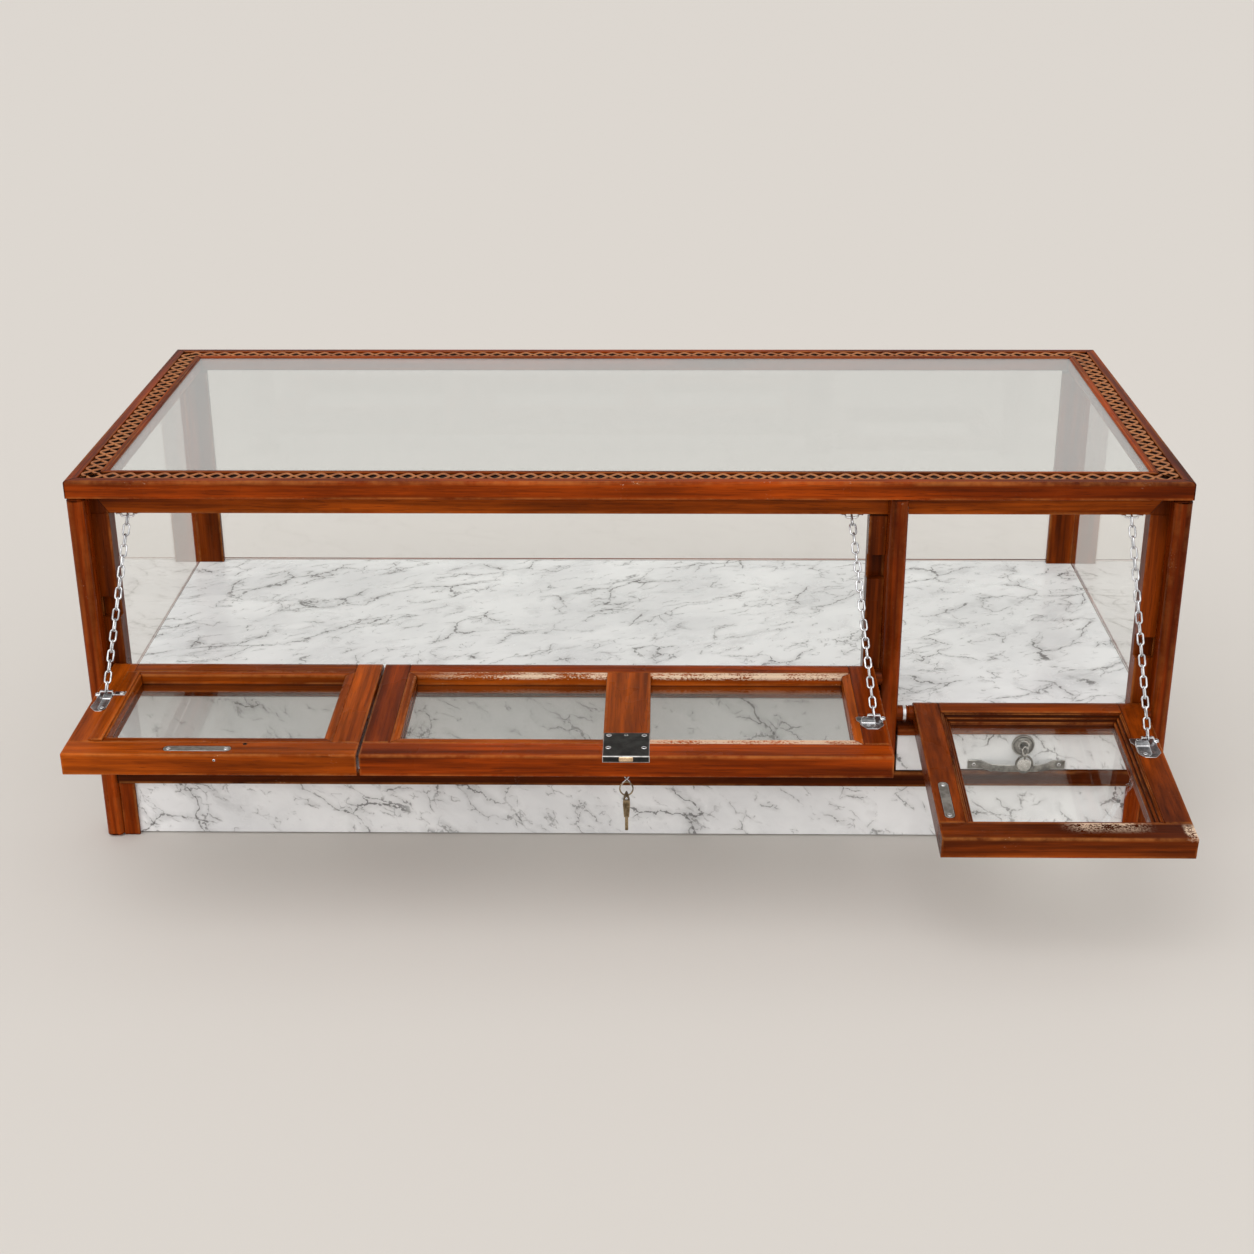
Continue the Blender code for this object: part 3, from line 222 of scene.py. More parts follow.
def finished(name, slot, group, relief, turn=(0, 0, 0), shift=(0, 0, 0), **values):
    """A material whose shader takes its colour, roughness and bump from a finish group.

    The group's Board and Arris, where it has them, come from the mesh.
    """
    material, tree, shader = new_material(name, slot)
    values["Place"] = object_place(tree, turn, shift)
    finish = add(tree, "ShaderNodeGroup", values, node_tree=group)
    for key in ("Board", "Arris"):
        if key in finish.inputs:
            feed(tree, finish, {key: carried(tree, key.lower())})
    cover(tree, shader, *(finish.outputs[key] for key in ("Color", "Roughness", "Height")), relief)
    return material, tree, shader, finish


def within(tree, patches):
    """1 inside the patches' boxes, fading out towards their sides."""
    spot = add(tree, "ShaderNodeSeparateXYZ", {0: object_place(tree)}).outputs
    shown = 0.0
    for patch in patches:
        inside = 1.0
        for coordinate, (low, high) in zip(spot, patch):
            fade = FLAKE_FADE * (high - low)
            for edge, full in ((low, low + fade), (high, high - fade)):
                inside = product(tree, inside, between(tree, coordinate, edge, full))
        shown = calc(tree, "MAXIMUM", shown, inside)
    return shown


def varnish(axis, stain, flaking=None):
    """The varnished wood with its grain along one axis, in one of the stains.

    Flaking lists patches, each as (from, to) of X, Y and Z, where the varnish lifts off in pale flakes.
    """
    name = "varnish_" + axis + "_" + stain + ("_flaked_%d" % (1000 * flaking[0][0][0]) if flaking else "")
    if name in bpy.data.materials:
        return bpy.data.materials[name]
    light, dark = STAINS[stain]
    material, tree, shader, wood = finished(name, "varnished_wood", GRAIN, GRAIN_RELIEF, ALONG[axis],
                                            Light=light, Dark=dark)
    feed(tree, shader, VARNISH_COAT)
    if flaking:
        feed(tree, wood, {"Flake": within(tree, flaking)})
    return material


ARRIS = 0.0009
TIGHT_ARC = 0.0025
EDGE_FLAT = 0.003
FACE_INSET = 0.0006


def slab(near, far, low, high, radius=ARRIS):
    """Corners of a rectangular section, with one radius or four."""
    corners = ((near, low), (far, low), (far, high), (near, high))
    return [(*corner, arc) for corner, arc in zip(corners, np.broadcast_to(radius, 4))]


def eased(corners, steps=4):
    """Closed outline with every (across, up, radius) corner turned into an arc.

    The arc touches its sides at radius / tan(half angle) from the corner, and sweeps from one radius
    to the other by the sine rule. One more point on each side, up to 3 mm on, keeps the flats flat.
    The mask is 1 on tight outward arcs and less on wide ones, -1 on inward arcs and 0 on flats.
    """
    corners = np.asarray(corners, float)
    after = np.roll(corners, -1, 0)
    if (corners[:, 0] * after[:, 1] - after[:, 0] * corners[:, 1]).sum() < 0:
        corners = corners[::-1]
    point, radius = corners[:, :2], corners[:, 2]
    back = np.roll(point, 1, 0) - point
    ahead = np.roll(point, -1, 0) - point
    ahead_length = np.linalg.norm(ahead, axis=1)
    back /= np.linalg.norm(back, axis=1)[:, None]
    ahead /= ahead_length[:, None]
    half = 0.5 * np.arccos(np.clip((back * ahead).sum(1), -1, 1))
    touch = radius / np.tan(half)
    middle = back + ahead
    middle /= np.linalg.norm(middle, axis=1)[:, None]
    centre = point + middle * (radius / np.sin(half))[:, None]
    first = point + back * touch[:, None] - centre
    last = point + ahead * touch[:, None] - centre
    sweep = (math.pi - 2 * half)[:, None, None]
    share = np.linspace(0, 1, steps + 1)[None, :, None]
    arc = first[:, None] * np.sin((1 - share) * sweep) + last[:, None] * np.sin(share * sweep)
    arc = centre[:, None] + arc / np.sin(sweep)
    spare = np.minimum(EDGE_FLAT, 0.4 * (ahead_length - touch - np.roll(touch, -1)))
    lead = point + back * (touch + np.roll(spare, 1))[:, None]
    trail = point + ahead * (touch + spare)[:, None]
    outward = back[:, 0] * ahead[:, 1] - back[:, 1] * ahead[:, 0] < 0
    mask = np.where(outward, np.clip(TIGHT_ARC / radius, 0.12, 1), -1)
    mask = np.repeat(mask[:, None], steps + 3, 1)
    mask[:, [0, -1]] = 0
    points = np.concatenate([lead[:, None], arc, trail[:, None]], 1)
    return points.reshape(-1, 2), mask.reshape(-1)


def shell(name, points, mask, material, body, *nodes, ring=False, smooth=35):
    """Closed surface through grids of points: rows along the path and columns round it.

    Neighbours make quads and the columns close on themselves. The rows close on themselves too on a
    ring; otherwise the first and last row are capped. A grid round a negative volume is turned over.
    """
    points = points if points.ndim == 4 else points[None]
    mask = np.broadcast_to(mask, points.shape[:3])
    count, rows, columns = points.shape[:3]
    index = np.arange(count * rows * columns).reshape(count, rows, columns)
    beside = np.roll(index, -1, 2)
    quads = np.stack([index, beside, np.roll(beside, -1, 1), np.roll(index, -1, 1)], -1)
    quads = (quads if ring else quads[:, :-1]).reshape(count, -1, 4)
    flat = points.reshape(-1, 3)
    near = flat - flat.mean(0)
    a, b, c, d = (near[quads[..., k]] for k in range(4))
    volume = (a * np.cross(b, c) + a * np.cross(c, d)).sum((1, 2))
    faces = []
    if not ring:
        ends = np.stack([index[:, 0, ::-1], index[:, -1]], 1)
        fan = near[ends]
        volume = volume + (fan[:, :, :1] * np.cross(fan[:, :, 1:-1], fan[:, :, 2:])).sum((1, 2, 3))
        ends = np.where((volume < 0)[:, None, None], ends[..., ::-1], ends)
        faces = ends.reshape(-1, columns).tolist()
    quads = np.where((volume < 0)[:, None, None], quads[..., ::-1], quads)
    mesh = bpy.data.meshes.new(name)
    mesh.from_pydata(flat.tolist(), [], quads.reshape(-1, 4).tolist() + faces)
    tone = np.full(len(flat), zlib.crc32(name.encode()) / 2**32)
    for key, values in (("arris", mask), ("board", tone)):
        layer = mesh.attributes.new(key, "FLOAT", "POINT")
        layer.data.foreach_set("value", values.astype(np.float32).ravel())
    mesh.polygons.foreach_set("use_smooth", np.ones(len(mesh.polygons), bool))
    mesh.set_sharp_from_angle(angle=math.radians(smooth))
    mesh.materials.append(material)
    piece = bpy.data.objects.new(name, mesh)
    bpy.context.scene.collection.objects.link(piece)
    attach(piece, body)
    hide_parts(*nodes)
    return piece


def drawn_in(outline, amount):
    """The outline moved inwards along its own normals."""
    along = np.roll(outline, -1, 0) - np.roll(outline, 1, 0)
    normal = np.stack([along[:, 1], -along[:, 0]], 1)
    return outline - amount * normal / np.maximum(np.linalg.norm(normal, axis=1), 1e-9)[:, None]


def placed(turn, points):
    """Points carried by a 4 x 4 matrix."""
    return np.asarray(points) @ turn[:3, :3].T + turn[:3, 3]


def board(name, corners, axis, run, material, *nodes, body="case", ends=(-1, -1), mitre=None, turn=None,
          notches=()):
    """Straight piece: an eased outline carried along an axis from the run's start to its end.

    Rings just inside each end carry that end's mask: 1 for a free end, -1 for a joint. The end rings
    are drawn in, which eases the end edges, and a free end's face inside them is plain. Mitre (a, b, k)
    moves each point on by a times its coordinate k at the start and by b times it at the end. Each
    notch (low, high, level) holds the second coordinate above level in that stretch.
    """
    start, end = run
    length = abs(end - start)
    outline, mask = eased(corners)
    ease = min(0.6 * min(corner[2] for corner in corners), 0.25 * length)
    inner = drawn_in(outline, ease)
    face = drawn_in(outline, ease + FACE_INSET)
    ring = min(EDGE_FLAT, 0.3 * length)
    stops = [(start, face, min(ends[0], 0)), (start, inner, ends[0]), (start + ease, outline, ends[0]),
             (start + ring, outline, None)]
    for low, high, level in notches:
        cut = np.stack([outline[:, 0], np.maximum(outline[:, 1], level)], 1)
        stops += [(low, outline, None), (low, cut, None), (high, cut, None), (high, outline, None)]
    stops += [(end - ring, outline, None), (end - ease, outline, ends[1]), (end, inner, ends[1]),
              (end, face, min(ends[1], 0))]
    section = np.stack([stop[1] for stop in stops])
    along = np.broadcast_to(np.array([stop[0] for stop in stops])[:, None], section.shape[:2]).copy()
    if mitre:
        at_start, at_end, lean = mitre
        middle = len(stops) // 2
        along[:middle] += at_start * section[:middle, :, lean]
        along[middle:] += at_end * section[middle:, :, lean]
    grids = [section[..., 0], section[..., 1]]
    grids.insert("xyz".index(axis), along)
    points = np.stack(grids, -1)
    shade = np.stack([mask if stop[2] is None else np.full_like(mask, stop[2]) for stop in stops])
    return shell(name, points if turn is None else placed(turn, points), shade, material, body, *nodes)


MOULDING_WIDTH = 0.0235
MOULDING_DEPTH = 0.036
MOULDING_RADIUS = 0.0075
MOULDING_ENDS = (-0.3, -0.5)
STRIP_EDGE = 0.0195
STRIP_FACE = 0.032
STRIP_STEP = 0.046
STRIP_BACK = 0.060
MOULDING = ((0, 0), (MOULDING_WIDTH, MOULDING_DEPTH))
FRONT_STRIP = ((STRIP_EDGE, STRIP_FACE), (0.047, STRIP_BACK))
POCKET_BACK = ((STRIP_EDGE, MOULDING_DEPTH), (MOULDING_WIDTH, STRIP_STEP + 0.0004))
POCKET_LAP = 0.001
REAR_STRIP = ((STRIP_EDGE, 0.0525), (0.060, 0.064))
REAR_FILLER = ((STRIP_EDGE, 0.0305), (0.0262, 0.0525))
STAPLE_NOTCHES = {"left": (0.330, 0.361), "right": (0.272, 0.304)}
STOP_LOW = 0.4830
STOP_NOTCH = (STOP_LOW, POST_TOP - 0.004, FRONT_Y + STRIP_FACE + 0.0014)


def post_board(post, piece, plan, radius=ARRIS, stain="deep", run=(0.0, POST_TOP), **more):
    """An upright of a corner post: a rectangle in plan, measured inward from the post's outer corner."""
    row, side = post.split("_")
    flip = SIDES[side]
    outer, inward = (FRONT_Y, 1) if row == "front" else (BACK_Y, -1)
    (x0, y0), (x1, y1) = plan
    x = (flip * (HALF_WIDTH - edge) for edge in (x0, x1))
    y = (outer + inward * edge for edge in (y0, y1))
    corners = slab(*x, *y, radius)
    board(post + "_" + piece, corners, "z", run, varnish("z", stain), post + "_post", **more)


for side in SIDES:
    front, rear = "front_" + side, "rear_" + side
    gap_low, gap_high = STAPLE_NOTCHES[side]
    staple_notch = (gap_low, gap_high, FRONT_Y + STRIP_STEP)
    post_board(front, "moulding", MOULDING, MOULDING_RADIUS, "warm", ends=MOULDING_ENDS)
    post_board(front, "strip", FRONT_STRIP, notches=(staple_notch, STOP_NOTCH))
    post_board(front, "pocket_back", POCKET_BACK, run=(gap_low - POCKET_LAP, gap_high + POCKET_LAP))
    post_board(rear, "moulding", MOULDING, MOULDING_RADIUS, "warm", ends=MOULDING_ENDS)
    post_board(rear, "strip", REAR_STRIP)
    post_board(rear, "filler", REAR_FILLER)

# Mullion. A half-round bead in front with a flat stop strip glued to its left, of the same varnished
# hardwood. It stands on the lower rail and is doweled up into the top frame.
MULLION_BEAD = (0.3505, 0.3755)
MULLION_STRIP = (0.3265, 0.3503)
MULLION_RADII = (0.0105, 0.0105, ARRIS, ARRIS)
MULLION_NOTCH = (0.390, 0.425, FRONT_Y + STRIP_STEP)
STOP_GAP = 0.0002
mullion_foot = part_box("mullion")[0].z
board("mullion_bead", slab(*MULLION_BEAD, FRONT_Y, FRONT_Y + STRIP_BACK, MULLION_RADII), "z",
      (mullion_foot, POST_TOP), varnish("z", "warm"), "mullion")
board("mullion_strip", slab(*MULLION_STRIP, FRONT_Y + STRIP_FACE, FRONT_Y + STRIP_BACK), "z",
      (mullion_foot, STOP_LOW - STOP_GAP), varnish("z", "deep"), "mullion", notches=[MULLION_NOTCH])

# Base. White marble sheets make the plinth and the band above it, between varnished rails and sills
# that run from post to post, with dark channels for the glass. A thin strip covers each front end of
# the plinth, and the deck inside is one larger sheet of the same marble.
JOINT = 0.0003
PLINTH_FOOT = 0.0020
PLINTH_TOP = 0.0852
RAIL_TOP = 0.1085
BAND_TOP = 0.1665
SILL_TOP = 0.1745
CHANNEL_TOP = 0.1902
PLINTH_SETBACK = 0.012
RAIL_SETBACK = 0.001
BAND_SETBACK = 0.005
BASE_BACK = 0.0317
CLOUD_GREY = (0.80, 0.805, 0.82, 1)
CLOUD_WHITE = (0.95, 0.955, 0.965, 1)
MIST_GREY = (0.46, 0.46, 0.47, 1)
VEIN_DARK = (0.13, 0.125, 0.125, 1)
VEIN_LEAN = (0.35, -0.45, -0.6)
VEIN_BENDS = ((5.0, 0.10), (24.0, 0.030), (110.0, 0.009))
VEIN_SIZES = (((4.6, 15.0, 15.0), 0.024, (0.49, 0.60), 0.84),
              ((9.5, 30.0, 30.0), 0.030, (0.51, 0.61), 0.66),
              ((24.0, 62.0, 62.0), 0.040, (0.56, 0.64), 0.48))
STONE_RELIEF = (0.08, 0.0006)


def veined_marble():
    """Polished white stone: soft grey clouds, with thin veins along the edges of long warped cells.

    The cells are stretched along one lean and bent by three noises, from wide to fine. A slow noise
    breaks the veins into lengths, a quick one beads them, and a faint halo goes with each.
    """
    group, given = new_group("veined_marble", Place="Vector")
    leaned = add(group, "ShaderNodeMapping", {"Vector": given["Place"], "Rotation": VEIN_LEAN}).outputs[0]
    bent = leaned
    for scale, swing in VEIN_BENDS:
        noise = add(group, "ShaderNodeTexNoise", {"Vector": leaned, "Scale": scale, "Detail": 3.0})
        sway = vector(group, "SUBTRACT", noise.outputs["Color"], (0.5, 0.5, 0.5))
        bent = vector(group, "ADD", bent, vector(group, "MULTIPLY", sway, (swing, swing, swing)))
    clouds = cloud(group, bent, (4.5, 9, 9), 5, 0.55)
    colour = tinted(group, between(group, clouds, 0.3, 0.66), CLOUD_GREY, CLOUD_WHITE)
    mist = cloud(group, bent, (13, 26, 26), 4, 0.6)
    colour = tinted(group, between(group, mist, 0.52, 0.8, 0.0, 0.45), colour, MIST_GREY)
    beads = between(group, cloud(group, leaned, (160, 200, 200), 3, 0.65), 0.36, 0.66, 0.12, 1.6)
    for stretch, width, gate, depth in VEIN_SIZES:
        cell = {"Vector": vector(group, "MULTIPLY", bent, stretch), "Scale": 1.0}
        edge = add(group, "ShaderNodeTexVoronoi", cell, feature="DISTANCE_TO_EDGE").outputs["Distance"]
        line = between(group, calc(group, "DIVIDE", edge, product(group, beads, width)), 1.0, 0.3)
        halo = between(group, edge, width * 6, 0.0, 0.0, 0.22)
        lengths = cloud(group, leaned, tuple(0.9 * part for part in stretch), 2)
        shown = product(group, calc(group, "MAXIMUM", line, halo), between(group, lengths, *gate), depth)
        colour = tinted(group, shown, colour, VEIN_DARK)
    rough = between(group, mist, 0.3, 0.7, 0.16, 0.3)
    add(group, "NodeGroupOutput", {"Color": colour, "Roughness": rough, "Height": mist})
    return group


VEINS = veined_marble()


def marble_sheet(name, offset):
    """Marble with its veins moved by offset, so that no two sheets match."""
    return finished(name, "marble_sheet", VEINS, STONE_RELIEF, shift=offset)[0]


def span(node, axis):
    """Where a CAD node starts and ends along an axis."""
    low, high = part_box(node)
    return low[axis], high[axis]


def refinish(node, material):
    """A CAD node that keeps its shape and takes a new finish."""
    mesh = frame["nodes"][node].data
    mesh.materials.clear()
    mesh.materials.append(material)


PLINTH_MARBLE = marble_sheet("plinth_marble", (0.31, 0.12, 0.55))
DECK_MARBLE = marble_sheet("deck_marble", (1.37, 0.46, 0.2))
FRONT_RUN = span("front_base", 0)
LOWER_RAIL = (PLINTH_TOP + JOINT, RAIL_TOP)
PLINTH_DEPTH = (FRONT_Y + PLINTH_SETBACK, FRONT_Y + BASE_BACK)
FRONT_RAIL_DEPTH = (FRONT_Y + RAIL_SETBACK, FRONT_Y + BASE_BACK)
board("front_plinth", slab(*PLINTH_DEPTH, PLINTH_FOOT, PLINTH_TOP), "x", FRONT_RUN, PLINTH_MARBLE,
      "front_base")
# The lower rail's shade stain is painted shade for the shadow the flaps cast on it.
board("front_lower_rail", slab(*FRONT_RAIL_DEPTH, *LOWER_RAIL, 0.002), "x", FRONT_RUN,
      varnish("x", "shade"), "front_base")
FOOT_X = (HALF_WIDTH - MOULDING_WIDTH - 0.0004, 0.7040)
FOOT_Y = (FRONT_Y + 0.0060, FRONT_Y + 0.0118)
FOOT_RADIUS = 0.0012
for side, flip in SIDES.items():
    foot = slab(flip * FOOT_X[0], flip * FOOT_X[1], *FOOT_Y, FOOT_RADIUS)
    board("front_" + side + "_foot_strip", foot, "z", (0.0, PLINTH_TOP), varnish("z", "warm"),
          "front_" + side + "_post")
BASE_BOARDS = {
    "plinth": (PLINTH_FOOT, PLINTH_TOP, PLINTH_SETBACK, True),
    "lower_rail": (*LOWER_RAIL, RAIL_SETBACK, False),
    "band": (RAIL_TOP + JOINT, BAND_TOP, BAND_SETBACK, True),
    "sill": (BAND_TOP + JOINT, SILL_TOP, RAIL_SETBACK, False),
}
BASE_RADIUS = 0.0015
END_INNER = 0.7305
BACK_INNER = BACK_Y - 0.0240
for name, (low, high, setback, stone) in BASE_BOARDS.items():
    for side, flip in SIDES.items():
        node = side + "_end_base"
        section = slab(flip * (HALF_WIDTH - setback), flip * END_INNER, low, high, BASE_RADIUS)
        board(side + "_end_" + name, section, "y", span(node, 1),
              PLINTH_MARBLE if stone else varnish("y", "warm"), node)
    board("back_" + name, slab(BACK_Y - setback, BACK_INNER, low, high, BASE_RADIUS), "x", FRONT_RUN,
          PLINTH_MARBLE if stone else varnish("x", "warm"), "back_base")
CHANNEL_X = (0.7304, 0.7364)
CHANNEL_LOW = BAND_TOP + JOINT
CHANNEL_RADIUS = 0.0006
CHANNEL_LEDGE = SILL_TOP - 0.0005
for side, flip in SIDES.items():
    node = side + "_end_base"
    section = slab(flip * CHANNEL_X[0], flip * CHANNEL_X[1], CHANNEL_LOW, CHANNEL_TOP, CHANNEL_RADIUS)
    board(side + "_glass_channel", section, "y", span(node, 1), varnish("y", "ebony"), node)
glass_front, glass_back = span("back_glass", 1)
channel_front = glass_front - 0.0004
channel_back = glass_back + 0.0006
ledge_back = BACK_Y - 0.0242
back_channel = [(channel_front, CHANNEL_LOW), (ledge_back, CHANNEL_LOW), (ledge_back, CHANNEL_LEDGE),
                (channel_back, CHANNEL_LEDGE), (channel_back, CHANNEL_TOP), (channel_front, CHANNEL_TOP)]
board("back_glass_channel", [(*corner, CHANNEL_RADIUS) for corner in back_channel], "x", FRONT_RUN,
      varnish("x", "ebony"), "back_base")
refinish("deck", DECK_MARBLE)
refinish("drawer_divider", varnish("y", "deep"))
APRON_CAP = 0.014
apron_x, apron_y, (apron_low, apron_high) = (span("front_apron", axis) for axis in range(3))
cap_low = apron_high - APRON_CAP
board("front_apron_sheet", slab(*apron_y, apron_low, cap_low), "x", apron_x, PLINTH_MARBLE, "front_apron")
board("front_apron_cap", slab(*apron_y, cap_low + JOINT, apron_high), "x", apron_x, varnish("x", "deep"),
      "front_apron")
board("drawer_sill_rail", slab(*FRONT_RAIL_DEPTH, BAND_TOP + JOINT, span("drawer_sill", 2)[1]), "x",
      span("drawer_sill", 0), varnish("x", "deep"), "drawer_sill")

# Top frame. Four rails mitred at the corners, with a rounded outer edge, a shallow trench for the
# fret and a ledge inside that the glass lies on. A stop strip for the flaps is glued under the front one.
FRAME_LOW = 0.5150
FRAME_TOP = 0.5400
FRAME_LEDGE = 0.5318
LEDGE_START = 0.0420
LEDGE_END = 0.0500
TRENCH = (0.0148, 0.0398)
TRENCH_FLOOR = 0.5368
rail_section = [
    (0.0, FRAME_LOW, 0.0012), (LEDGE_END, FRAME_LOW, ARRIS), (LEDGE_END, FRAME_LEDGE, ARRIS),
    (LEDGE_START, FRAME_LEDGE, ARRIS), (LEDGE_START, FRAME_TOP, 0.0006), (TRENCH[1], FRAME_TOP, 0.0006),
    (TRENCH[1], TRENCH_FLOOR, 0.0004), (TRENCH[0], TRENCH_FLOOR, 0.0004), (TRENCH[0], FRAME_TOP, 0.0006),
    (0.0, FRAME_TOP, 0.0030),
]
ground_section = slab(TRENCH[0] + 0.0002, TRENCH[1] - 0.0002, TRENCH_FLOOR - 0.0003, TRENCH_FLOOR + 0.0002,
                      0.0001)
glass_bead_section = [(0.0421, 0.5381, 0.0003), (0.0502, 0.5381, 0.0002), (0.0502, 0.5385, 0.0002),
                      (0.0462, 0.5399, 0.0008), (0.0421, 0.5399, 0.0006)]


def frame_rail(name, profile, stain, axis, outer, inward, half, *nodes):
    """A run of the top frame: its profile measured inward from the outer face, mitred at both ends."""
    section = [(outer + inward * depth, height, radius) for depth, height, radius in profile]
    shift = inward * outer
    board(name, section, axis, (half[0] - shift, half[1] + shift), varnish(axis, stain), *nodes,
          mitre=(inward, -inward, 0))


RAIL_RUNS = {
    "front_top_rail": ("x", FRONT_Y, 1, (-HALF_WIDTH, HALF_WIDTH)),
    "rear_top_rail": ("x", BACK_Y, -1, (-HALF_WIDTH, HALF_WIDTH)),
    "left_top_rail": ("y", -HALF_WIDTH, 1, (FRONT_Y, BACK_Y)),
    "right_top_rail": ("y", HALF_WIDTH, -1, (FRONT_Y, BACK_Y)),
}
for name, run in RAIL_RUNS.items():
    frame_rail(name + "_moulding", rail_section, "warm", *run, name)
    frame_rail(name + "_fret_ground", ground_section, "ebony", *run)
    frame_rail(name + "_glass_bead", glass_bead_section, "warm", *run)
STOP_TOP = FRAME_LOW - 0.0001
STOP_HALF_LOW = 0.7030
STOP_HALF_TOP = 0.7265
STOP_FACE = STRIP_FACE + 0.0009
stop_lean = (STOP_HALF_TOP - STOP_HALF_LOW) / (STOP_TOP - STOP_LOW)
stop_half = STOP_HALF_LOW - stop_lean * STOP_LOW
stop_section = slab(FRONT_Y + STOP_FACE, FRONT_Y + STRIP_STEP, STOP_LOW, STOP_TOP, 0.0015)
# Its honey stain is lighter than the rail's: painted light that keeps it bright in the rail's shade.
board("front_stop_strip", stop_section, "x", (-stop_half, stop_half), varnish("x", "honey"),
      "front_top_rail", mitre=(-stop_lean, stop_lean, 1))

# Fret. Two thin carved strands wave along each trench and cross at every half turn, one over and
# one under, pale gold in patches, darker at their foot and near black between. They are glued to the trench
# floor.
FRET_PITCH = 0.0235
FRET_HALF = 0.0108
FRET_PINCH = 1.7
FRET_STEPS = 10
FRET_LIFT = 0.0004
FRET_DARK = (0.25, 0.068, 0.012, 1)
FRET_LIGHT = (0.43, 0.145, 0.036, 1)
FRET_GILT = (0.54, 0.235, 0.08, 1)
FRET_FOOT_DARK = (0.022, 0.006, 0.002, 1)
FRET_RELIEF = (0.25, 0.0005)
STRAND_ACROSS = 0.0021 * np.array([-1.0, -0.62, 0.0, 0.62, 1.0, 0.6, -0.6])
STRAND_HEIGHT = 0.0027 * np.array([0.35, 0.86, 1.0, 0.86, 0.35, 0.0, 0.0])
STRAND_MASK = np.array([0.1, 0.75, 1.0, 0.75, 0.1, -1, -1])
TRENCH_SIDE = 0.0006
TRENCH_CLEAR = 0.0002


def fret_material(axis):
    """Pale carved wood, darker towards its foot, from the height the mesh carries."""
    material, tree, shader = new_material("carved_fret_" + axis, "varnished_wood")
    place = object_place(tree, ALONG[axis])
    patina = cloud(tree, place, (45, 90, 90), 4, 0.65)
    broad = cloud(tree, place, (5, 12, 12), 3)
    colour = tinted(tree, between(tree, patina, 0.3, 0.7), FRET_DARK, FRET_LIGHT)
    colour = tinted(tree, between(tree, broad, 0.35, 0.7, 0.0, 0.35), colour, FRET_GILT)
    # Darker towards the strands' foot, as the height the mesh carries falls.
    colour = tinted(tree, between(tree, carried(tree, "arris"), 0.6, -0.2), colour, FRET_FOOT_DARK)
    cover(tree, shader, colour, between(tree, patina, 0.3, 0.7, 0.28, 0.48), patina, FRET_RELIEF)
    return material


def strand(name, axis, outer, inward, half, phase):
    """A strand of the fret: an arched section carried along a sine of the run.

    The centre line is middle + half width * s * |s|^(pinch - 1), where s is sin(pi * run / pitch + phase),
    so it keeps to the middle between its swings. It rises and dips by half a millimetre to pass over
    and under the other strand, and its ends are cut on the mitre.
    """
    start, end = half
    cells = round((end - start) / FRET_PITCH)
    pitch = (end - start) / cells
    run = np.linspace(start, end, cells * FRET_STEPS + 1)
    turn = math.pi * (run - start) / pitch + phase
    swing = np.abs(np.sin(turn)) ** (FRET_PINCH - 1)
    centre = sum(TRENCH) / 2 + FRET_HALF * np.sin(turn) * swing
    slope = FRET_HALF * FRET_PINCH * swing * np.cos(turn) * math.pi / pitch
    lift = FRET_LIFT * np.cos(turn)
    square = 1 / np.sqrt(1 + slope**2)
    depth = centre[:, None] + STRAND_ACROSS * square[:, None]
    depth = np.clip(depth, TRENCH[0] - TRENCH_SIDE, TRENCH[1] + TRENCH_SIDE)
    along = np.clip(run[:, None] - STRAND_ACROSS * (slope * square)[:, None], start + depth, end - depth)
    rise = STRAND_HEIGHT + lift[:, None] * (STRAND_HEIGHT > 0)
    level = TRENCH_FLOOR + np.clip(rise, 0, FRAME_TOP - TRENCH_FLOOR - TRENCH_CLEAR)
    away = outer + inward * depth
    points = np.stack((along, away, level) if axis == "x" else (away, along, level), -1)
    return shell(name, points, STRAND_MASK, FRET_FINISH[axis], "case", smooth=60)


FRET_FINISH = {axis: fret_material(axis) for axis in "xy"}
for name, run in RAIL_RUNS.items():
    strand(name + "_fret_over", *run, 0.0)
    strand(name + "_fret_under", *run, math.pi)

# Glass. The top sheet lies on the ledge, and the end and back panes stand in the posts' grooves.
# It is plain float glass with a faint green edge and hand smears, and lets light through to the deck.
GLASS_IOR = 1.45


def clear_glass(name, tint, clear_share=1.0):
    """Principled glass for the eye, and a clear pass for shadows and bounced light.

    What the clear share leaves is a whitish diffuse veil, a painted sheen that whitens the sheet.
    """
    material, tree, shader = new_material(name, "clear_glass")
    smear = cloud(tree, object_place(tree), (3, 3, 7), 4, 0.6, 0.5)
    feed(tree, shader, {"Base Color": tint, "Transmission Weight": clear_share, "IOR": GLASS_IOR,
                        "Roughness": between(tree, smear, 0.5, 0.85, 0.0, 0.05)})
    path = add(tree, "ShaderNodeLightPath").outputs
    through = calc(tree, "MAXIMUM", path["Is Shadow Ray"], path["Is Diffuse Ray"])
    clear = add(tree, "ShaderNodeBsdfTransparent", {"Color": tint})
    mixed = add(tree, "ShaderNodeMixShader", {0: through, 1: shader.outputs[0], 2: clear.outputs[0]})
    feed(tree, tree.nodes["Material Output"], {"Surface": mixed.outputs[0]})
    return material


CASE_GLASS = clear_glass("case_glass", (0.985, 0.992, 0.985, 1))
PANE_GLASS = clear_glass("pane_glass", (0.70, 0.715, 0.705, 1))
for node in ("left_end_glass", "right_end_glass", "back_glass"):
    refinish(node, CASE_GLASS)
# The top sheet keeps a fifth of its light as a whitish veil: a painted sheen for its reflection.
refinish("top_glass", clear_glass("dusty_glass", (0.865, 0.875, 0.86, 1), 0.8))

# Flaps. Glazed frames of varnished hardwood, with a rounded rear edge that turns on wooden lugs in
# the posts. The stiles and the hinge rail are tenoned to a full-width free rail, and mitred beads hold
# the glass: flush ones in the left and middle flap, stepped ones in the right.


def joint_place(name):
    """Where a joint of the CAD stands at rest."""
    return next(joint["pos_m"] for joint in frame["joints"] if joint["name"] == name)


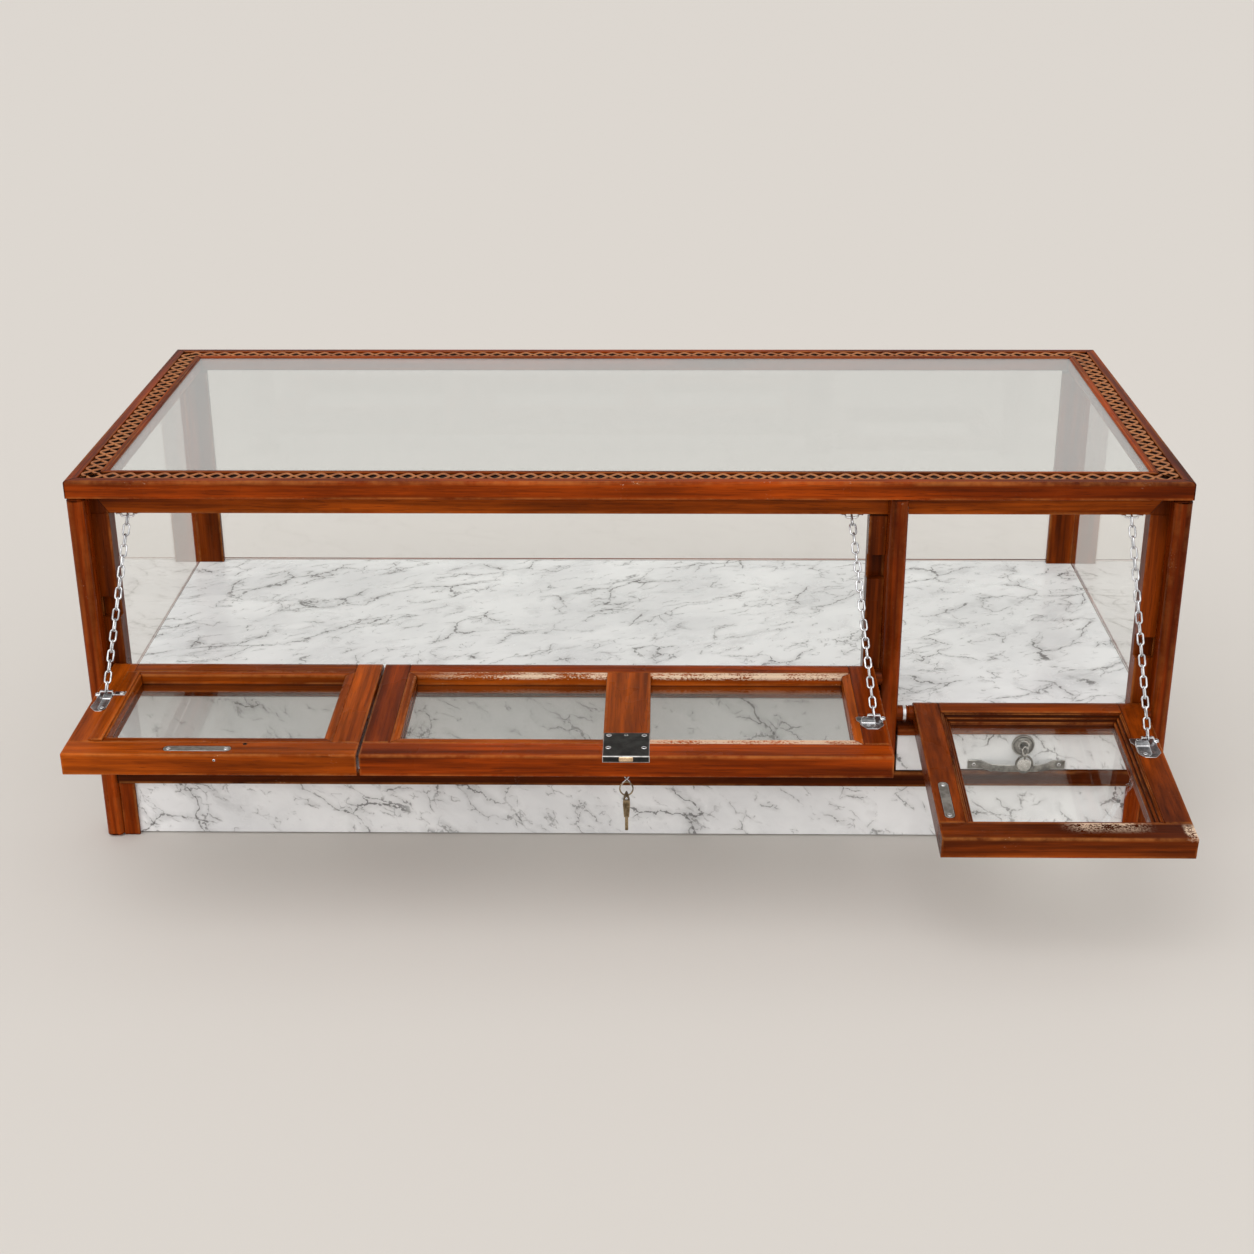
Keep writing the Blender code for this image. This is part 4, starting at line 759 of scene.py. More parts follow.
FLAP_HALF = 0.0150
NOSE_RADIUS = 0.0148
STILE = 0.0350
SHOULDER = -0.4
FREE_RADII = (0.0015, 0.001, 0.0006, 0.0014)
MUNTIN = (-0.0280, 0.0320)
MUNTIN_RISE = 0.0001
BEAD_LAP = 0.0117
BEAD_GAP = 0.0002
MITRE_RING = 0.0025
BEAD_FOOT = [(0.0, -0.0148, 0.0006), (0.0115, -0.0148, 0.002), (0.0115, -0.0022, 0.0004),
             (0.0117, 0.0022, 0.0004)]
FLUSH_BEAD = BEAD_FOOT + [(0.0117, 0.0147, 0.0012), (0.0, 0.0148, 0.0006)]
STEPPED_BEAD = BEAD_FOOT + [(0.0117, 0.0048, 0.001), (0.0078, 0.0058, 0.0007), (0.0076, 0.0092, 0.0007),
                            (0.0038, 0.0102, 0.0007), (0.0036, 0.0138, 0.0007), (0.0, 0.0146, 0.0006)]
FLAPS = {
    "left": dict(x=(-0.7165, -0.3405), tilt=1.0, reach=0.263, stain="honey", bead=(FLUSH_BEAD, "honey")),
    "middle": dict(x=(-0.3365, 0.3405), tilt=1.0, reach=0.263, stain="warm", bead=(FLUSH_BEAD, "honey")),
    "right": dict(x=(0.398, 0.718), tilt=6.0, reach=0.319, stain="deep", bead=(STEPPED_BEAD, "deep")),
}
HINGES = {side: joint_place(side + "_flap_hinge") for side in FLAPS}
PEELING = {
    "middle_flap_bead_1": [((-0.30, 0.09), (-0.35, 0.10), (0.2575, 0.2700))],
    "middle_flap_bead_2": [((-0.08, 0.40), (-0.50, 0.00), (0.2575, 0.2700))],
    "right_flap_free_board": [((0.545, 0.675), (-0.472, -0.430), (0.1757, 0.1900)),
                              ((0.701, 0.726), (-0.486, -0.446), (0.1700, 0.1900))],
}


def flap_turn(side):
    """The flap's own frame, with the hinge axis along X at its origin, set to its rest tilt."""
    tilt = Matrix.Rotation(math.radians(FLAPS[side]["tilt"]), 4, "X")
    return np.array(Matrix.Translation((0, *HINGES[side][1:])) @ tilt)


TURNS = {side: flap_turn(side) for side in FLAPS}


def on_flap(side):
    """What a board needs to ride a flap and to be given in the flap's own frame."""
    return {"body": side + "_flap", "turn": TURNS[side]}


def bullnose(front):
    """Side outline of a flap member whose rear edge is a half circle about the hinge axis."""
    return slab(front, FLAP_HALF, -FLAP_HALF, FLAP_HALF, (ARRIS, NOSE_RADIUS, NOSE_RADIUS, ARRIS))


def glazing_bead(name, low, high, section, finishes, body, turn):
    """Four mitred strips round a pane: a section carried round a rectangle.

    Each corner's points step inwards along the diagonal by the section's first coordinate. A ring close
    to each corner keeps the dark of the mitre near it.
    """
    outline, mask = eased(section, 3)
    (x0, y0), (x1, y1) = low, high
    corner = np.array([(x0, y0), (x1, y0), (x1, y1), (x0, y1)])
    inward = np.array([(1, 1), (-1, 1), (-1, -1), (1, -1)])
    flat = corner[:, None] + inward[:, None] * outline[None, :, :1]
    ahead = np.roll(corner, -1, 0) - corner
    ahead = MITRE_RING * (ahead / np.linalg.norm(ahead, axis=1)[:, None])[:, None]
    rows = np.stack([flat, flat + ahead, np.roll(flat, -1, 0) - ahead], 1).reshape(12, -1, 2)
    points = np.concatenate([rows, np.broadcast_to(outline[None, :, 1:], rows.shape[:2] + (1,))], -1)
    shade = np.broadcast_to(mask, (4, 3, len(mask))).copy()
    shade[:, 0] = np.minimum(shade[:, 0], -0.7)
    piece = shell(name, placed(turn, points), shade.reshape(12, -1), finishes[0], body, ring=True)
    piece.data.materials.append(finishes[1])
    side = np.repeat(np.arange(12) // 3 % 2, len(outline))
    piece.data.polygons.foreach_set("material_index", side.astype(np.int32))


def circle_angles(count):
    """Angles spread evenly round a circle."""
    return np.linspace(0, 2 * math.pi, count, endpoint=False)


def turned(name, profile, origins, axis, material, body, *nodes, columns=32, mask=0.0, **look):
    """Turned pieces: (radius, height) points carried round an axis through each origin."""
    profile = np.asarray(profile, float)
    axis = Vector(axis).normalized()
    side = axis.orthogonal().normalized()
    angle = circle_angles(columns)[:, None]
    round_it = np.cos(angle) * np.array(side) + np.sin(angle) * np.array(axis.cross(side))
    shape = profile[:, None, :1] * round_it + profile[:, None, 1:] * np.array(axis)
    points = np.reshape(origins, (-1, 1, 1, 3)) + shape
    mask = np.broadcast_to(mask, len(profile))[:, None]
    return shell(name, points, mask, material, body, *nodes, **look)


def build_flap(side):
    """A flap's members and beads, in its own frame and turned to its rest tilt."""
    flap, body, kept = FLAPS[side], side + "_flap", on_flap(side)
    (left, right), reach, stain = flap["x"], flap["reach"], flap["stain"]
    inner_left, inner_right = left + STILE, right - STILE
    front, rear = STILE - reach, FLAP_HALF - STILE
    stile, across = bullnose(front + JOINT), varnish("y", stain)
    board(body + "_left_board", stile, "x", (left, inner_left), across, body + "_left_stile",
          ends=(1, SHOULDER), **kept)
    board(body + "_right_board", stile, "x", (inner_right, right), across, body + "_right_stile",
          ends=(SHOULDER, 1), **kept)
    board(body + "_hinge_board", bullnose(rear), "x", (inner_left + JOINT, inner_right - JOINT),
          varnish("x", stain), body + "_hinge_rail", ends=(SHOULDER, SHOULDER), **kept)
    free = body + "_free_board"
    board(free, slab(-reach, front, -FLAP_HALF, FLAP_HALF, FREE_RADII), "x", (left, right),
          varnish("x", stain, PEELING.get(free)), body + "_free_rail", ends=(1, 1), **kept)
    spans = [(inner_left, inner_right)]
    if side == "middle":
        board("middle_flap_muntin_board", slab(*MUNTIN, -FLAP_HALF, FLAP_HALF + MUNTIN_RISE), "y",
              (front, rear), varnish("y", "honey"), "middle_flap_muntin", ends=(-0.2, -0.2), **kept)
        spans = [(inner_left, MUNTIN[0] + BEAD_LAP), (MUNTIN[1] - BEAD_LAP, inner_right)]
    section, stain = flap["bead"]
    for number, (x0, x1) in enumerate(spans, 1):
        bead = body + "_bead_" + str(number)
        finishes = varnish("x", stain, PEELING.get(bead)), varnish("y", stain)
        glazing_bead(bead, (x0 + BEAD_GAP, front + BEAD_GAP), (x1 - BEAD_GAP, rear - BEAD_GAP), section,
                     finishes, **kept)


for side in FLAPS:
    build_flap(side)
board("left_flap_bead_strip", slab(-0.6902, -0.6722, 0.0146, 0.0175, 0.0010), "y", (-0.2265, -0.0260),
      varnish("y", "honey"), ends=(1, 1), **on_flap("left"))
LUGS = {"left_flap_left": (-0.7165, -0.7345), "middle_flap_right": (0.3405, 0.3585),
        "right_flap_left": (0.398, 0.3675), "right_flap_right": (0.718, 0.7345)}
LUG_RADIUS = 0.0113
LUG_TIP = 0.0103
LUG_EASE = 0.001
LUG_ROOT = 0.004
LUG_GROOVES = [(LUG_RADIUS, 0.0100), (0.0099, 0.0112), (LUG_RADIUS, 0.0124), (LUG_RADIUS, 0.0170),
               (0.0101, 0.0180), (LUG_RADIUS, 0.0190)]
for name, (near, far) in LUGS.items():
    side = name.split("_")[0]
    reach = abs(far - near) + LUG_ROOT
    grooves = LUG_GROOVES if name == "right_flap_left" else []
    profile = [(LUG_TIP, 0.0), (LUG_RADIUS, LUG_EASE), *grooves, (LUG_RADIUS, reach - LUG_EASE),
               (LUG_TIP, reach)]
    root = (near - math.copysign(LUG_ROOT, far - near), *HINGES[side][1:])
    turned(name + "_lug", profile, root, (far - near, 0, 0), varnish("x", "deep"), side + "_flap",
           name + "_stile")
for node in ("left_flap_pane", "middle_flap_pane_1", "middle_flap_pane_2"):
    refinish(node, PANE_GLASS)
refinish("right_flap_pane", CASE_GLASS)

# Chain staples. Zinc-plated straps bent over the end link, with two screwed ears. Those on the flaps
# have a lobed base plate and a tongue towards the free edge, and those under the stop strip are plain.
METAL_DIRT = (0.02, 0.016, 0.012, 1)
METAL_RELIEF = (0.2, 0.0002)


def handled_metal():
    """Bare or plated metal: clouds of dull film over it, fine scratches, rubbed edges and dirty hollows.

    Arris 1 is an edge rubbed to the edge colour, and -1 a hollow that holds dirt.
    """
    group, given = new_group("handled_metal", Place="Vector", Arris="Float", Bright="Color", Dull="Color",
                             Edge="Color", Rough="Float")
    film = cloud(group, given["Place"], (85, 85, 85), 4, 0.62)
    scratches = cloud(group, given["Place"], (90, 1500, 1500), 2)
    colour = tinted(group, between(group, film, 0.32, 0.68), given["Dull"], given["Bright"])
    colour = tinted(group, between(group, scratches, 0.6, 0.74, 0.0, 0.4), colour, given["Bright"])
    rubbed = calc(group, "MULTIPLY", given["Arris"], between(group, film, 0.25, 0.6, 0.45, 0.9), clamp=True)
    colour = tinted(group, rubbed, colour, given["Edge"])
    dirt = between(group, given["Arris"], -0.1, -1.0, 0.0, 0.9)
    colour = tinted(group, dirt, colour, METAL_DIRT)
    filmed = between(group, film, 0.3, 0.7, 0.16, 0.0)
    rough = weighed(group, (given["Rough"], 1.0), (filmed, 1.0), (dirt, 0.3))
    height = calc(group, "ADD", scratches, film)
    add(group, "NodeGroupOutput", {"Color": colour, "Roughness": rough, "Height": height})
    return group


METAL = handled_metal()


def metal(name, slot, bright, dull, rough, edge=None, metallic=1.0):
    """A metal finish between a bright and a dull colour, with its edges rubbed to the edge colour."""
    colours = {"Bright": (*bright, 1), "Dull": (*dull, 1), "Edge": (*(edge or bright), 1)}
    material, tree, shader = finished(name, slot, METAL, METAL_RELIEF, Rough=rough, **colours)[:3]
    feed(tree, shader, {"Metallic": metallic})
    return material


ZINC = metal("bright_zinc", "bright_zinc", (0.86, 0.87, 0.89), (0.40, 0.41, 0.43), 0.16)
WORN_ZINC = metal("worn_zinc", "bright_zinc", (0.46, 0.47, 0.49), (0.15, 0.155, 0.16), 0.24,
                  (0.90, 0.91, 0.92))
SCREW_HEAD = np.array([(1.0, -0.25), (1.0, 0.08), (0.88, 0.2), (0.62, 0.26), (0.54, 0.04), (0.1, 0.04)])
SCREW_MASK = [0, 1, 1, 1, -1, -1]


def screws(name, places, axis, radius, material, body):
    """Screw heads: a low crown with a dark sunk drive, as a share of the radius."""
    return turned(name, radius * SCREW_HEAD, places, axis, material, body, columns=16, mask=SCREW_MASK)


def flap_screws(name, side, places, radius, material, out=(0, 0, 1)):
    """Screw heads in a flap, with their places and the way they face given in the flap's own frame."""
    turn = TURNS[side]
    screws(name, placed(turn, places), turn[:3, :3] @ out, radius, material, side + "_flap")


def strap(name, path, width, thick, place, material, body, *nodes):
    """Flat strap: an eight-sided section, width by thick, carried along a bent path of (run, rise).

    The section stays square to the path. Place is the origin and the run, across and rise directions.
    """
    path = np.asarray(path, float)
    ahead = np.gradient(path, axis=0)
    ahead /= np.linalg.norm(ahead, axis=1)[:, None]
    side = np.array([-1, -0.82, 0.82, 1, 1, 0.82, -0.82, -1])
    up = np.array([-0.4, -1, -1, -0.4, 0.4, 1, 1, 0.4]) * thick / 2
    run = path[:, :1] - ahead[:, 1:] * up
    rise = path[:, 1:] + ahead[:, :1] * up
    across = np.reshape(width, (-1, 1)) / 2 * side
    points = np.stack([run, across, rise], -1) @ np.array(place[1:], float) + np.array(place[0], float)
    return shell(name, points, np.where(np.abs(side) == 1, 1.0, 0.0), material, body, *nodes, smooth=40)


def mirrored(half):
    """A strap's path and widths: rows of (run, rise, width) up to its middle, and the same back down."""
    half = np.array(half)
    whole = np.concatenate([half, half[-2::-1] * (-1, 1, 1)])
    return whole[:, :2], whole[:, 2]


LOOP = mirrored([(-0.0155, 0.0011, 0.0030), (-0.0148, 0.0011, 0.0070), (-0.0128, 0.0011, 0.0105),
                 (-0.0106, 0.0011, 0.0105), (-0.0094, 0.0014, 0.0078), (-0.0086, 0.0026, 0.0052),
                 (-0.0082, 0.0044, 0.0046), (-0.0078, 0.0056, 0.0044), (-0.0064, 0.0061, 0.0044),
                 (0.0, 0.0062, 0.0044)])
LOOP_THICK = 0.0020
TONGUE = [(0.0062, 0.0048), (0.0090, 0.0044), (0.0115, 0.0034), (0.0140, 0.0021), (0.0165, 0.0013)]
TONGUE_TIP = ((0.0080, 0.0011), (0.0040, 0.0011), (0.0015, 0.0010))
TONGUE_WIDTH = np.array([0.88, 0.95, 1.0, 1.0, 1.0, 0.95, 0.74, 0.42])
TONGUE_THICK = 0.0012
# Each staple's place across and along the flap, the way inward, how far its tip goes, the tongue's
# middle and width, and the ear's and flank's edges.
STAPLES = {
    "left": (-0.7005, 0.0952, 1, 0.0480, (0.0040, 0.0120), (0.0104, 0.0098)),
    "middle": (0.3245, 0.1580, -1, 0.0280, (0.0085, 0.0190), (0.0230, 0.0186)),
    "right": (0.7020, 0.0935, -1, 0.0400, (0.0094, 0.0190), (0.0230, 0.0186)),
}
BASE_FACE = (FLAP_HALF - 0.0006, FLAP_HALF + 0.0004)
BAR_REACH = (0.0168, 0.0136)
BAR_FACE = (FLAP_HALF + 0.0008, FLAP_HALF + 0.0036)
HOOKS = {"left": -0.6792, "middle": 0.3030, "right": 0.6792}
HOOK_Y = FRONT_Y + 0.039
EAR = 0.0122
EAR_RISE = 0.0021
TIP_SCREW = (0.0075, 0.0014)
STAPLE_SCREW = 0.0029
HOOK_SCREW = 0.0025


def staple_base(x, reach, inward, tip, ear):
    """Outline of a staple's base plate: a wide ear by the loop, narrowing to a round tip."""
    ear, flank = ear
    lobes = [(-0.0130, -0.0065, 0.003), (ear, -0.0065, 0.003), (ear, 0.0035, 0.003), (flank, 0.0105, 0.003),
             (flank, tip - 0.0120, 0.005), (0.6 * flank, tip, 0.005), (-0.0040, tip, 0.005),
             (-0.0130, tip - 0.0120, 0.005), (-0.0110, 0.0130, 0.003)]
    return [(x + inward * sideways, -reach - forward, radius) for sideways, forward, radius in lobes]


for side, (x, reach, inward, tip, (middle, width), ear) in STAPLES.items():
    body, node, turn, kept = side + "_flap", side + "_flap_staple", TURNS[side], on_flap(side)
    seat = placed(turn, (x, -reach, FLAP_HALF))
    run, across, rise = turn[:3, :3].T
    strap(node + "_loop", *LOOP, LOOP_THICK, (seat, run, across, rise), ZINC, body, node)
    board(node + "_base", staple_base(x, reach, inward, tip, ear), "z", BASE_FACE, WORN_ZINC, node,
          ends=(0, 1), **kept)
    root = seat + inward * middle * run
    path = TONGUE + [(tip - back, height) for back, height in TONGUE_TIP]
    strap(node + "_tongue", path, width * TONGUE_WIDTH, TONGUE_THICK, (root, -across, run, rise), WORN_ZINC,
          body, node)
    bar = sorted(x + inward * (middle + half * width) for half in (-0.5, 0.5))
    bar_run = (-reach - forward for forward in BAR_REACH)
    board(node + "_bar", slab(*bar_run, *BAR_FACE, 0.0012), "x", bar, ZINC, node, ends=(1, 1), **kept)
    heads = [seat + way * EAR * run + EAR_RISE * rise for way in (-1, 1)]
    heads.append(root - (tip - TIP_SCREW[0]) * across + TIP_SCREW[1] * rise)
    screws(node + "_screws", heads, rise, STAPLE_SCREW, ZINC, body)
    hook, node = np.array((HOOKS[side], HOOK_Y, STOP_LOW)), side + "_chain_hook"
    strap(node + "_loop", *LOOP, LOOP_THICK, (hook, (1, 0, 0), (0, 1, 0), (0, 0, -1)), ZINC, "case", node)
    heads = [hook + (way * EAR, 0, -EAR_RISE) for way in (-1, 1)]
    screws(node + "_screws", heads, (0, 0, -1), HOOK_SCREW, ZINC, "case")
board("left_flap_staple_tab", slab(-0.6898, -0.6745, 0.0173, 0.0186, 0.0004), "y", (-0.1010, -0.0905),
      WORN_ZINC, ends=(1, 1), **on_flap("left"))
flap_screws("left_flap_staple_tab_screw", "left", (-0.6795, -0.0957, 0.0184), 0.0034, ZINC)

# Chains. Welded steel links, zinc plated, that hold the lowered flaps. Each hangs straight from its
# hook to its staple, and is two lengths that part at a knee so that it folds when the flap shuts.
LINK_WIDTH = 0.0105
LINK_WIRE = 0.0026
LINK_LAP = 0.0004
LINK_POINTS = 24
KNEE_SLACK = 0.0016
CHAINS = {
    "left": ((-0.67920, -0.13984, 0.47670), (-0.70050, -0.25790, 0.26964), 17, 4),
    "middle": ((0.30300, -0.13984, 0.47670), (0.32450, -0.32069, 0.26854), 21, 8),
    "right": ((0.67920, -0.13984, 0.47670), (0.70200, -0.25755, 0.20541), 21, 4),
}


def wire(name, paths, normals, radius, material, body, *nodes, ring=True, columns=8):
    """Round wire along flat paths: at each point a circle in the path's normal and the way across it."""
    paths = np.asarray(paths, float)
    normals = np.broadcast_to(np.reshape(normals, (-1, 1, 3)), paths.shape)
    ahead = np.roll(paths, -1, 1) - np.roll(paths, 1, 1) if ring else np.gradient(paths, axis=1)
    across = np.cross(ahead / np.linalg.norm(ahead, axis=-1, keepdims=True), normals)
    angle = circle_angles(columns)[:, None]
    circle = np.cos(angle) * normals[:, :, None] + np.sin(angle) * across[:, :, None]
    points = paths[:, :, None] + radius * circle
    return shell(name, points, 0.0, material, body, *nodes, ring=ring, smooth=60)


def links(name, centres, along, sides, inner):
    """Chain links: a half circle at each end of two straight sides, as a ring of wire.

    The centre line is radius * cos + straight * sign of cos along the chain, and radius * sin sideways.
    """
    angle = (np.arange(LINK_POINTS) + 0.5) * 2 * math.pi / LINK_POINTS
    radius = (LINK_WIDTH - LINK_WIRE) / 2
    straight = (inner + LINK_WIRE) / 2 - radius
    reach = radius * np.cos(angle) + straight * np.sign(np.cos(angle))
    paths = centres[:, None] + reach[:, None] * along + radius * np.sin(angle)[:, None] * sides[:, None]
    wire(name, paths, np.cross(along, sides), LINK_WIRE / 2, ZINC, name, name)


for side, (hook, eye, count, lower) in CHAINS.items():
    hook, eye = np.array(hook), np.array(eye)
    length = np.linalg.norm(eye - hook)
    along = (eye - hook) / length
    end_gap = abs(along[1]) * 0.002 + abs(along[2]) * 0.001 + 0.0011
    inner = (length + 2 * end_gap - (count - 2) * LINK_LAP + KNEE_SLACK) / count
    upper = count - lower
    steps = np.full(count, inner + LINK_LAP)
    steps[0] = inner / 2 - end_gap
    steps[upper] = inner - KNEE_SLACK
    centres = hook + np.cumsum(steps)[:, None] * along
    square = np.cross((1, 0, 0), along)
    square /= np.linalg.norm(square)
    sides = np.where(np.arange(count)[:, None] % 2 == 0, square, np.cross(along, square))
    links(side + "_chain_upper", centres[:upper], along, sides[:upper], inner)
    links(side + "_chain_lower", centres[upper:], along, sides[upper:], inner)
refinish("centre_pivot", ZINC)

# Strike plates and odd screws on the flaps. Brushed steel strips with round ends, let in almost
# flush with a screw at each end, and a few old fixings that were never taken out. A worn zinc ferrule
# sits on the right flap's left lug.
STEEL = metal("brushed_steel", "bright_zinc", (0.44, 0.43, 0.41), (0.24, 0.23, 0.21), 0.36,
              (0.75, 0.74, 0.72))
IRON = metal("dark_iron", "bright_zinc", (0.035, 0.030, 0.025), (0.010, 0.008, 0.006), 0.45)
PLATES = {"left": (-0.5886, -0.5017, -0.2530, -0.2400), "right": (0.4075, 0.4205, -0.2745, -0.1935)}
PLATE_RADIUS = 0.0062
PLATE_FACE = (0.0138, 0.0152)
RECESS_RADIUS = 0.0068
RECESS_FACE = (0.0140, 0.01505)
RECESS_SEAM = np.array((-0.0008, 0.0008, -0.0008, 0.0008))
PLATE_SCREW = (0.0065, 0.0149, 0.0032)
for side, plate in PLATES.items():
    kept = on_flap(side)
    board(side + "_strike_plate", slab(*plate, PLATE_RADIUS), "z", PLATE_FACE, STEEL, ends=(0, 1), **kept)
    board(side + "_strike_recess", slab(*(plate + RECESS_SEAM), RECESS_RADIUS), "z", RECESS_FACE,
          varnish("z", "ebony"), ends=(0, 0), **kept)
    inset, height, radius = PLATE_SCREW
    x0, x1, y0, y1 = plate
    heads = [(x0 + inset, y0 + inset, height), (x1 - inset, y1 - inset, height)]
    flap_screws(side + "_strike_screws", side, heads, radius, ZINC)
ODD_SCREWS = {"spare_hole": ((-0.4863, -0.2337, 0.0150), (0, 0, 1), 0.0028, IRON),
              "front_nail": ((-0.5210, -0.2630, 0.0070), (0, -1, 0), 0.0017, ZINC),
              "edge_screw": ((-0.7165, -0.1630, 0.0020), (-1, 0, 0), 0.0032, IRON)}
for name, (spot, out, radius, material) in ODD_SCREWS.items():
    flap_screws("left_flap_" + name, "left", spot, radius, material, out)
FERRULE = [(0.0108, 0.0), (0.0117, 0.0005), (0.0117, 0.0045), (0.0108, 0.0050)]
FERRULE_X = 0.3830
turned("right_flap_ferrule", FERRULE, (FERRULE_X, *HINGES["right"][1:]), (1, 0, 0), WORN_ZINC, "right_flap",
       mask=[0, 1, 1, 0])

# Lock. A japanned steel plate screwed over a mortise in the muntin's end, folded down over the free
# edge, with a brass bolt that comes out of the fold. It sits almost flush with the flap's inner face.
BLACK = metal("black_steel", "black_steel", (0.022, 0.023, 0.022), (0.007, 0.007, 0.007), 0.34,
              (0.70, 0.69, 0.67), 0.6)
BRASS = metal("worn_brass", "worn_brass", (0.86, 0.62, 0.40), (0.46, 0.30, 0.15), 0.26)
LOCK_RUN = (-0.2632, -0.1995)
LOCK_FACE = (0.0122, 0.0154)
FOLD_RUN = (-0.2637, -0.2600)
FOLD_FACE = (0.0062, 0.0152)
BOLT_X = (-0.0070, 0.0110)
BOLT_FACE = (0.0078, 0.0140)
BOLT_RUN = (-0.2643, -0.2400)
LOCK_SCREWS = [(x, y, 0.0149) for x in (-0.0208, 0.0248) for y in (-0.2065, -0.2400)]
LOCK_RIVET = (0.0015, -0.2060, 0.0150)
board("lock_cover", slab(*MUNTIN, *LOCK_RUN, 0.0012), "z", LOCK_FACE, BLACK, "lock_plate", ends=(0, 0.6),
      **on_flap("middle"))
board("lock_fold", slab(*MUNTIN, *FOLD_FACE, 0.0010), "y", FOLD_RUN, BLACK, "lock_plate", ends=(1, 0),
      **on_flap("middle"))
flap_screws("lock_screws", "middle", LOCK_SCREWS, 0.0038, ZINC)
flap_screws("lock_rivet", "middle", LOCK_RIVET, 0.0028, BLACK)
board("lock_bolt_bar", slab(*BOLT_X, *BOLT_FACE, 0.0010), "y", BOLT_RUN, BRASS, "lock_bolt",
      body="lock_bolt", ends=(1, 0), turn=TURNS["middle"])

# Keys. Two bright wires are bent through the key's bow and cross under the rail, and an oval split
# ring hangs from them with a spare key: a pointed dark head, a tapered bronze shank and a thin blade.
BRONZE = metal("dark_bronze", "worn_brass", (0.42, 0.32, 0.19), (0.11, 0.075, 0.04), 0.32)
DARK_HEAD = metal("dark_key_head", "worn_brass", (0.16, 0.12, 0.08), (0.025, 0.018, 0.012), 0.35)
KEY_X, KEY_Y, KEY_TOP = joint_place("lock_key_turn")
FACING = (0.0, 1.0, 0.0)
STEM = [(0.0016, 0.0), (0.0021, 0.001), (0.0021, 0.0130), (0.0014, 0.0140)]
STEM_RISE = 0.006
TIES = np.array([(-0.0066, 0.0014, 0.2276), (-0.0045, 0.0015, 0.2222), (-0.0018, 0.0012, 0.2180),
                 (0.0012, 0.0012, 0.2150), (0.0040, 0.0008, 0.2118), (0.0061, 0.0, 0.2078)])
KEY_WIRE = 0.0008
RING_MIDDLE = 0.2024
RING_HALF = (0.0085, 0.0097)
RING_SPLIT = 0.0006
turned("lock_key_stem", STEM, (KEY_X, KEY_Y, KEY_TOP + STEM_RISE), (0, 0, -1), DARK_HEAD, "lock_key",
       "lock_key", columns=16)
ties = [(KEY_X, KEY_Y, 0) + TIES * (flip, flip, 1) for flip in (-1, 1)]
wire("lock_key_ties", ties, FACING, KEY_WIRE, ZINC, "lock_key", "lock_key", ring=False)


def oval(x, y, z, half_width, half_height):
    """Points of an upright ellipse that faces the front."""
    angle = circle_angles(40)
    return np.stack([x + half_width * np.sin(angle), np.full(40, y), z + half_height * np.cos(angle)], 1)


coils = [oval(KEY_X, KEY_Y + way * RING_SPLIT, RING_MIDDLE, *RING_HALF) for way in (1, -1)]
wire("split_ring", coils, FACING, KEY_WIRE, BRONZE, "lock_key", "lock_key")


def key_part(name, half_outline, half_thick, material):
    """A flat key part: half of its outline as (half width, height, radius), mirrored and made thick."""
    sides = [(KEY_X + x, z, radius) for x, z, radius in half_outline]
    sides += [(KEY_X - x, z, radius) for x, z, radius in half_outline[::-1] if x > 0]
    board(name, sides, "y", (KEY_Y - half_thick, KEY_Y + half_thick), material, "spare_key",
          body="spare_key", ends=(1, 1))


HEAD = [(0.0, 0.1998, 0.0010), (0.0029, 0.1930, 0.0060), (0.0046, 0.1855, 0.0010)]
HEAD_HALF = 0.0019
SHANK = [(0.0042, 0.1880, 0.0008), (0.0047, 0.1790, 0.0100), (0.0033, 0.1607, 0.0010)]
SHANK_HALF = 0.0014
BLADE = [(0.0021, 0.1625, 0.0004), (0.0021, 0.1414, 0.0008)]
BLADE_HALF = 0.0008
key_part("spare_key_head", HEAD, HEAD_HALF, DARK_HEAD)
key_part("spare_key_shank", SHANK, SHANK_HALF, BRONZE)
key_part("spare_key_blade", BLADE, BLADE_HALF, BRONZE)
screws("spare_key_rivet", (KEY_X, KEY_Y - HEAD_HALF, 0.1885), (0, -1, 0), 0.0016, ZINC, "spare_key")

# Drawer. A plain wooden box with a marble sheet for its front. The bow handle is a bent pewter ribbon
# on two screwed plates, one ear of it folded down.
PEWTER = metal("aged_pewter", "aged_pewter", (0.30, 0.29, 0.265), (0.085, 0.08, 0.07), 0.28,
               (0.55, 0.54, 0.51))
drawer_x, drawer_y, drawer_z = (span("drawer_front", axis) for axis in range(3))
board("drawer_front_sheet", slab(*drawer_y, *drawer_z, 0.0012), "x", drawer_x,
      marble_sheet("drawer_marble", (0.83, 0.31, 0.71)), "drawer_front", body="drawer")
BOX_LIGHT = (0.56, 0.33, 0.15, 1)
BOX_DARK = (0.36, 0.18, 0.07, 1)
plain, plain_tree, plain_shader = new_material("plain_drawer_wood", "plain_drawer_wood")
plain_inputs = {"Place": object_place(plain_tree, ALONG["y"]), "Light": BOX_LIGHT, "Dark": BOX_DARK}
plain_grain = add(plain_tree, "ShaderNodeGroup", plain_inputs, node_tree=GRAIN)
feed(plain_tree, plain_shader, {"Base Color": plain_grain.outputs["Color"], "Roughness": 0.6})
refinish("drawer_box", plain)
HANDLE_X = 0.5455
HANDLE_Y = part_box("drawer_handle")[1].y
HANDLE_Z = 0.1190
HANDLE_PLATES = {"left": (0.4775, 0.4975), "right": (0.5935, 0.6135)}
HANDLE_PLATE_Y = (HANDLE_Y - 0.0022, HANDLE_Y)
HANDLE_PLATE_Z = (0.1122, 0.1255)
HANDLE_SCREWS = [(x, HANDLE_Y - 0.0020, HANDLE_Z) for x in (0.4860, 0.6050)]
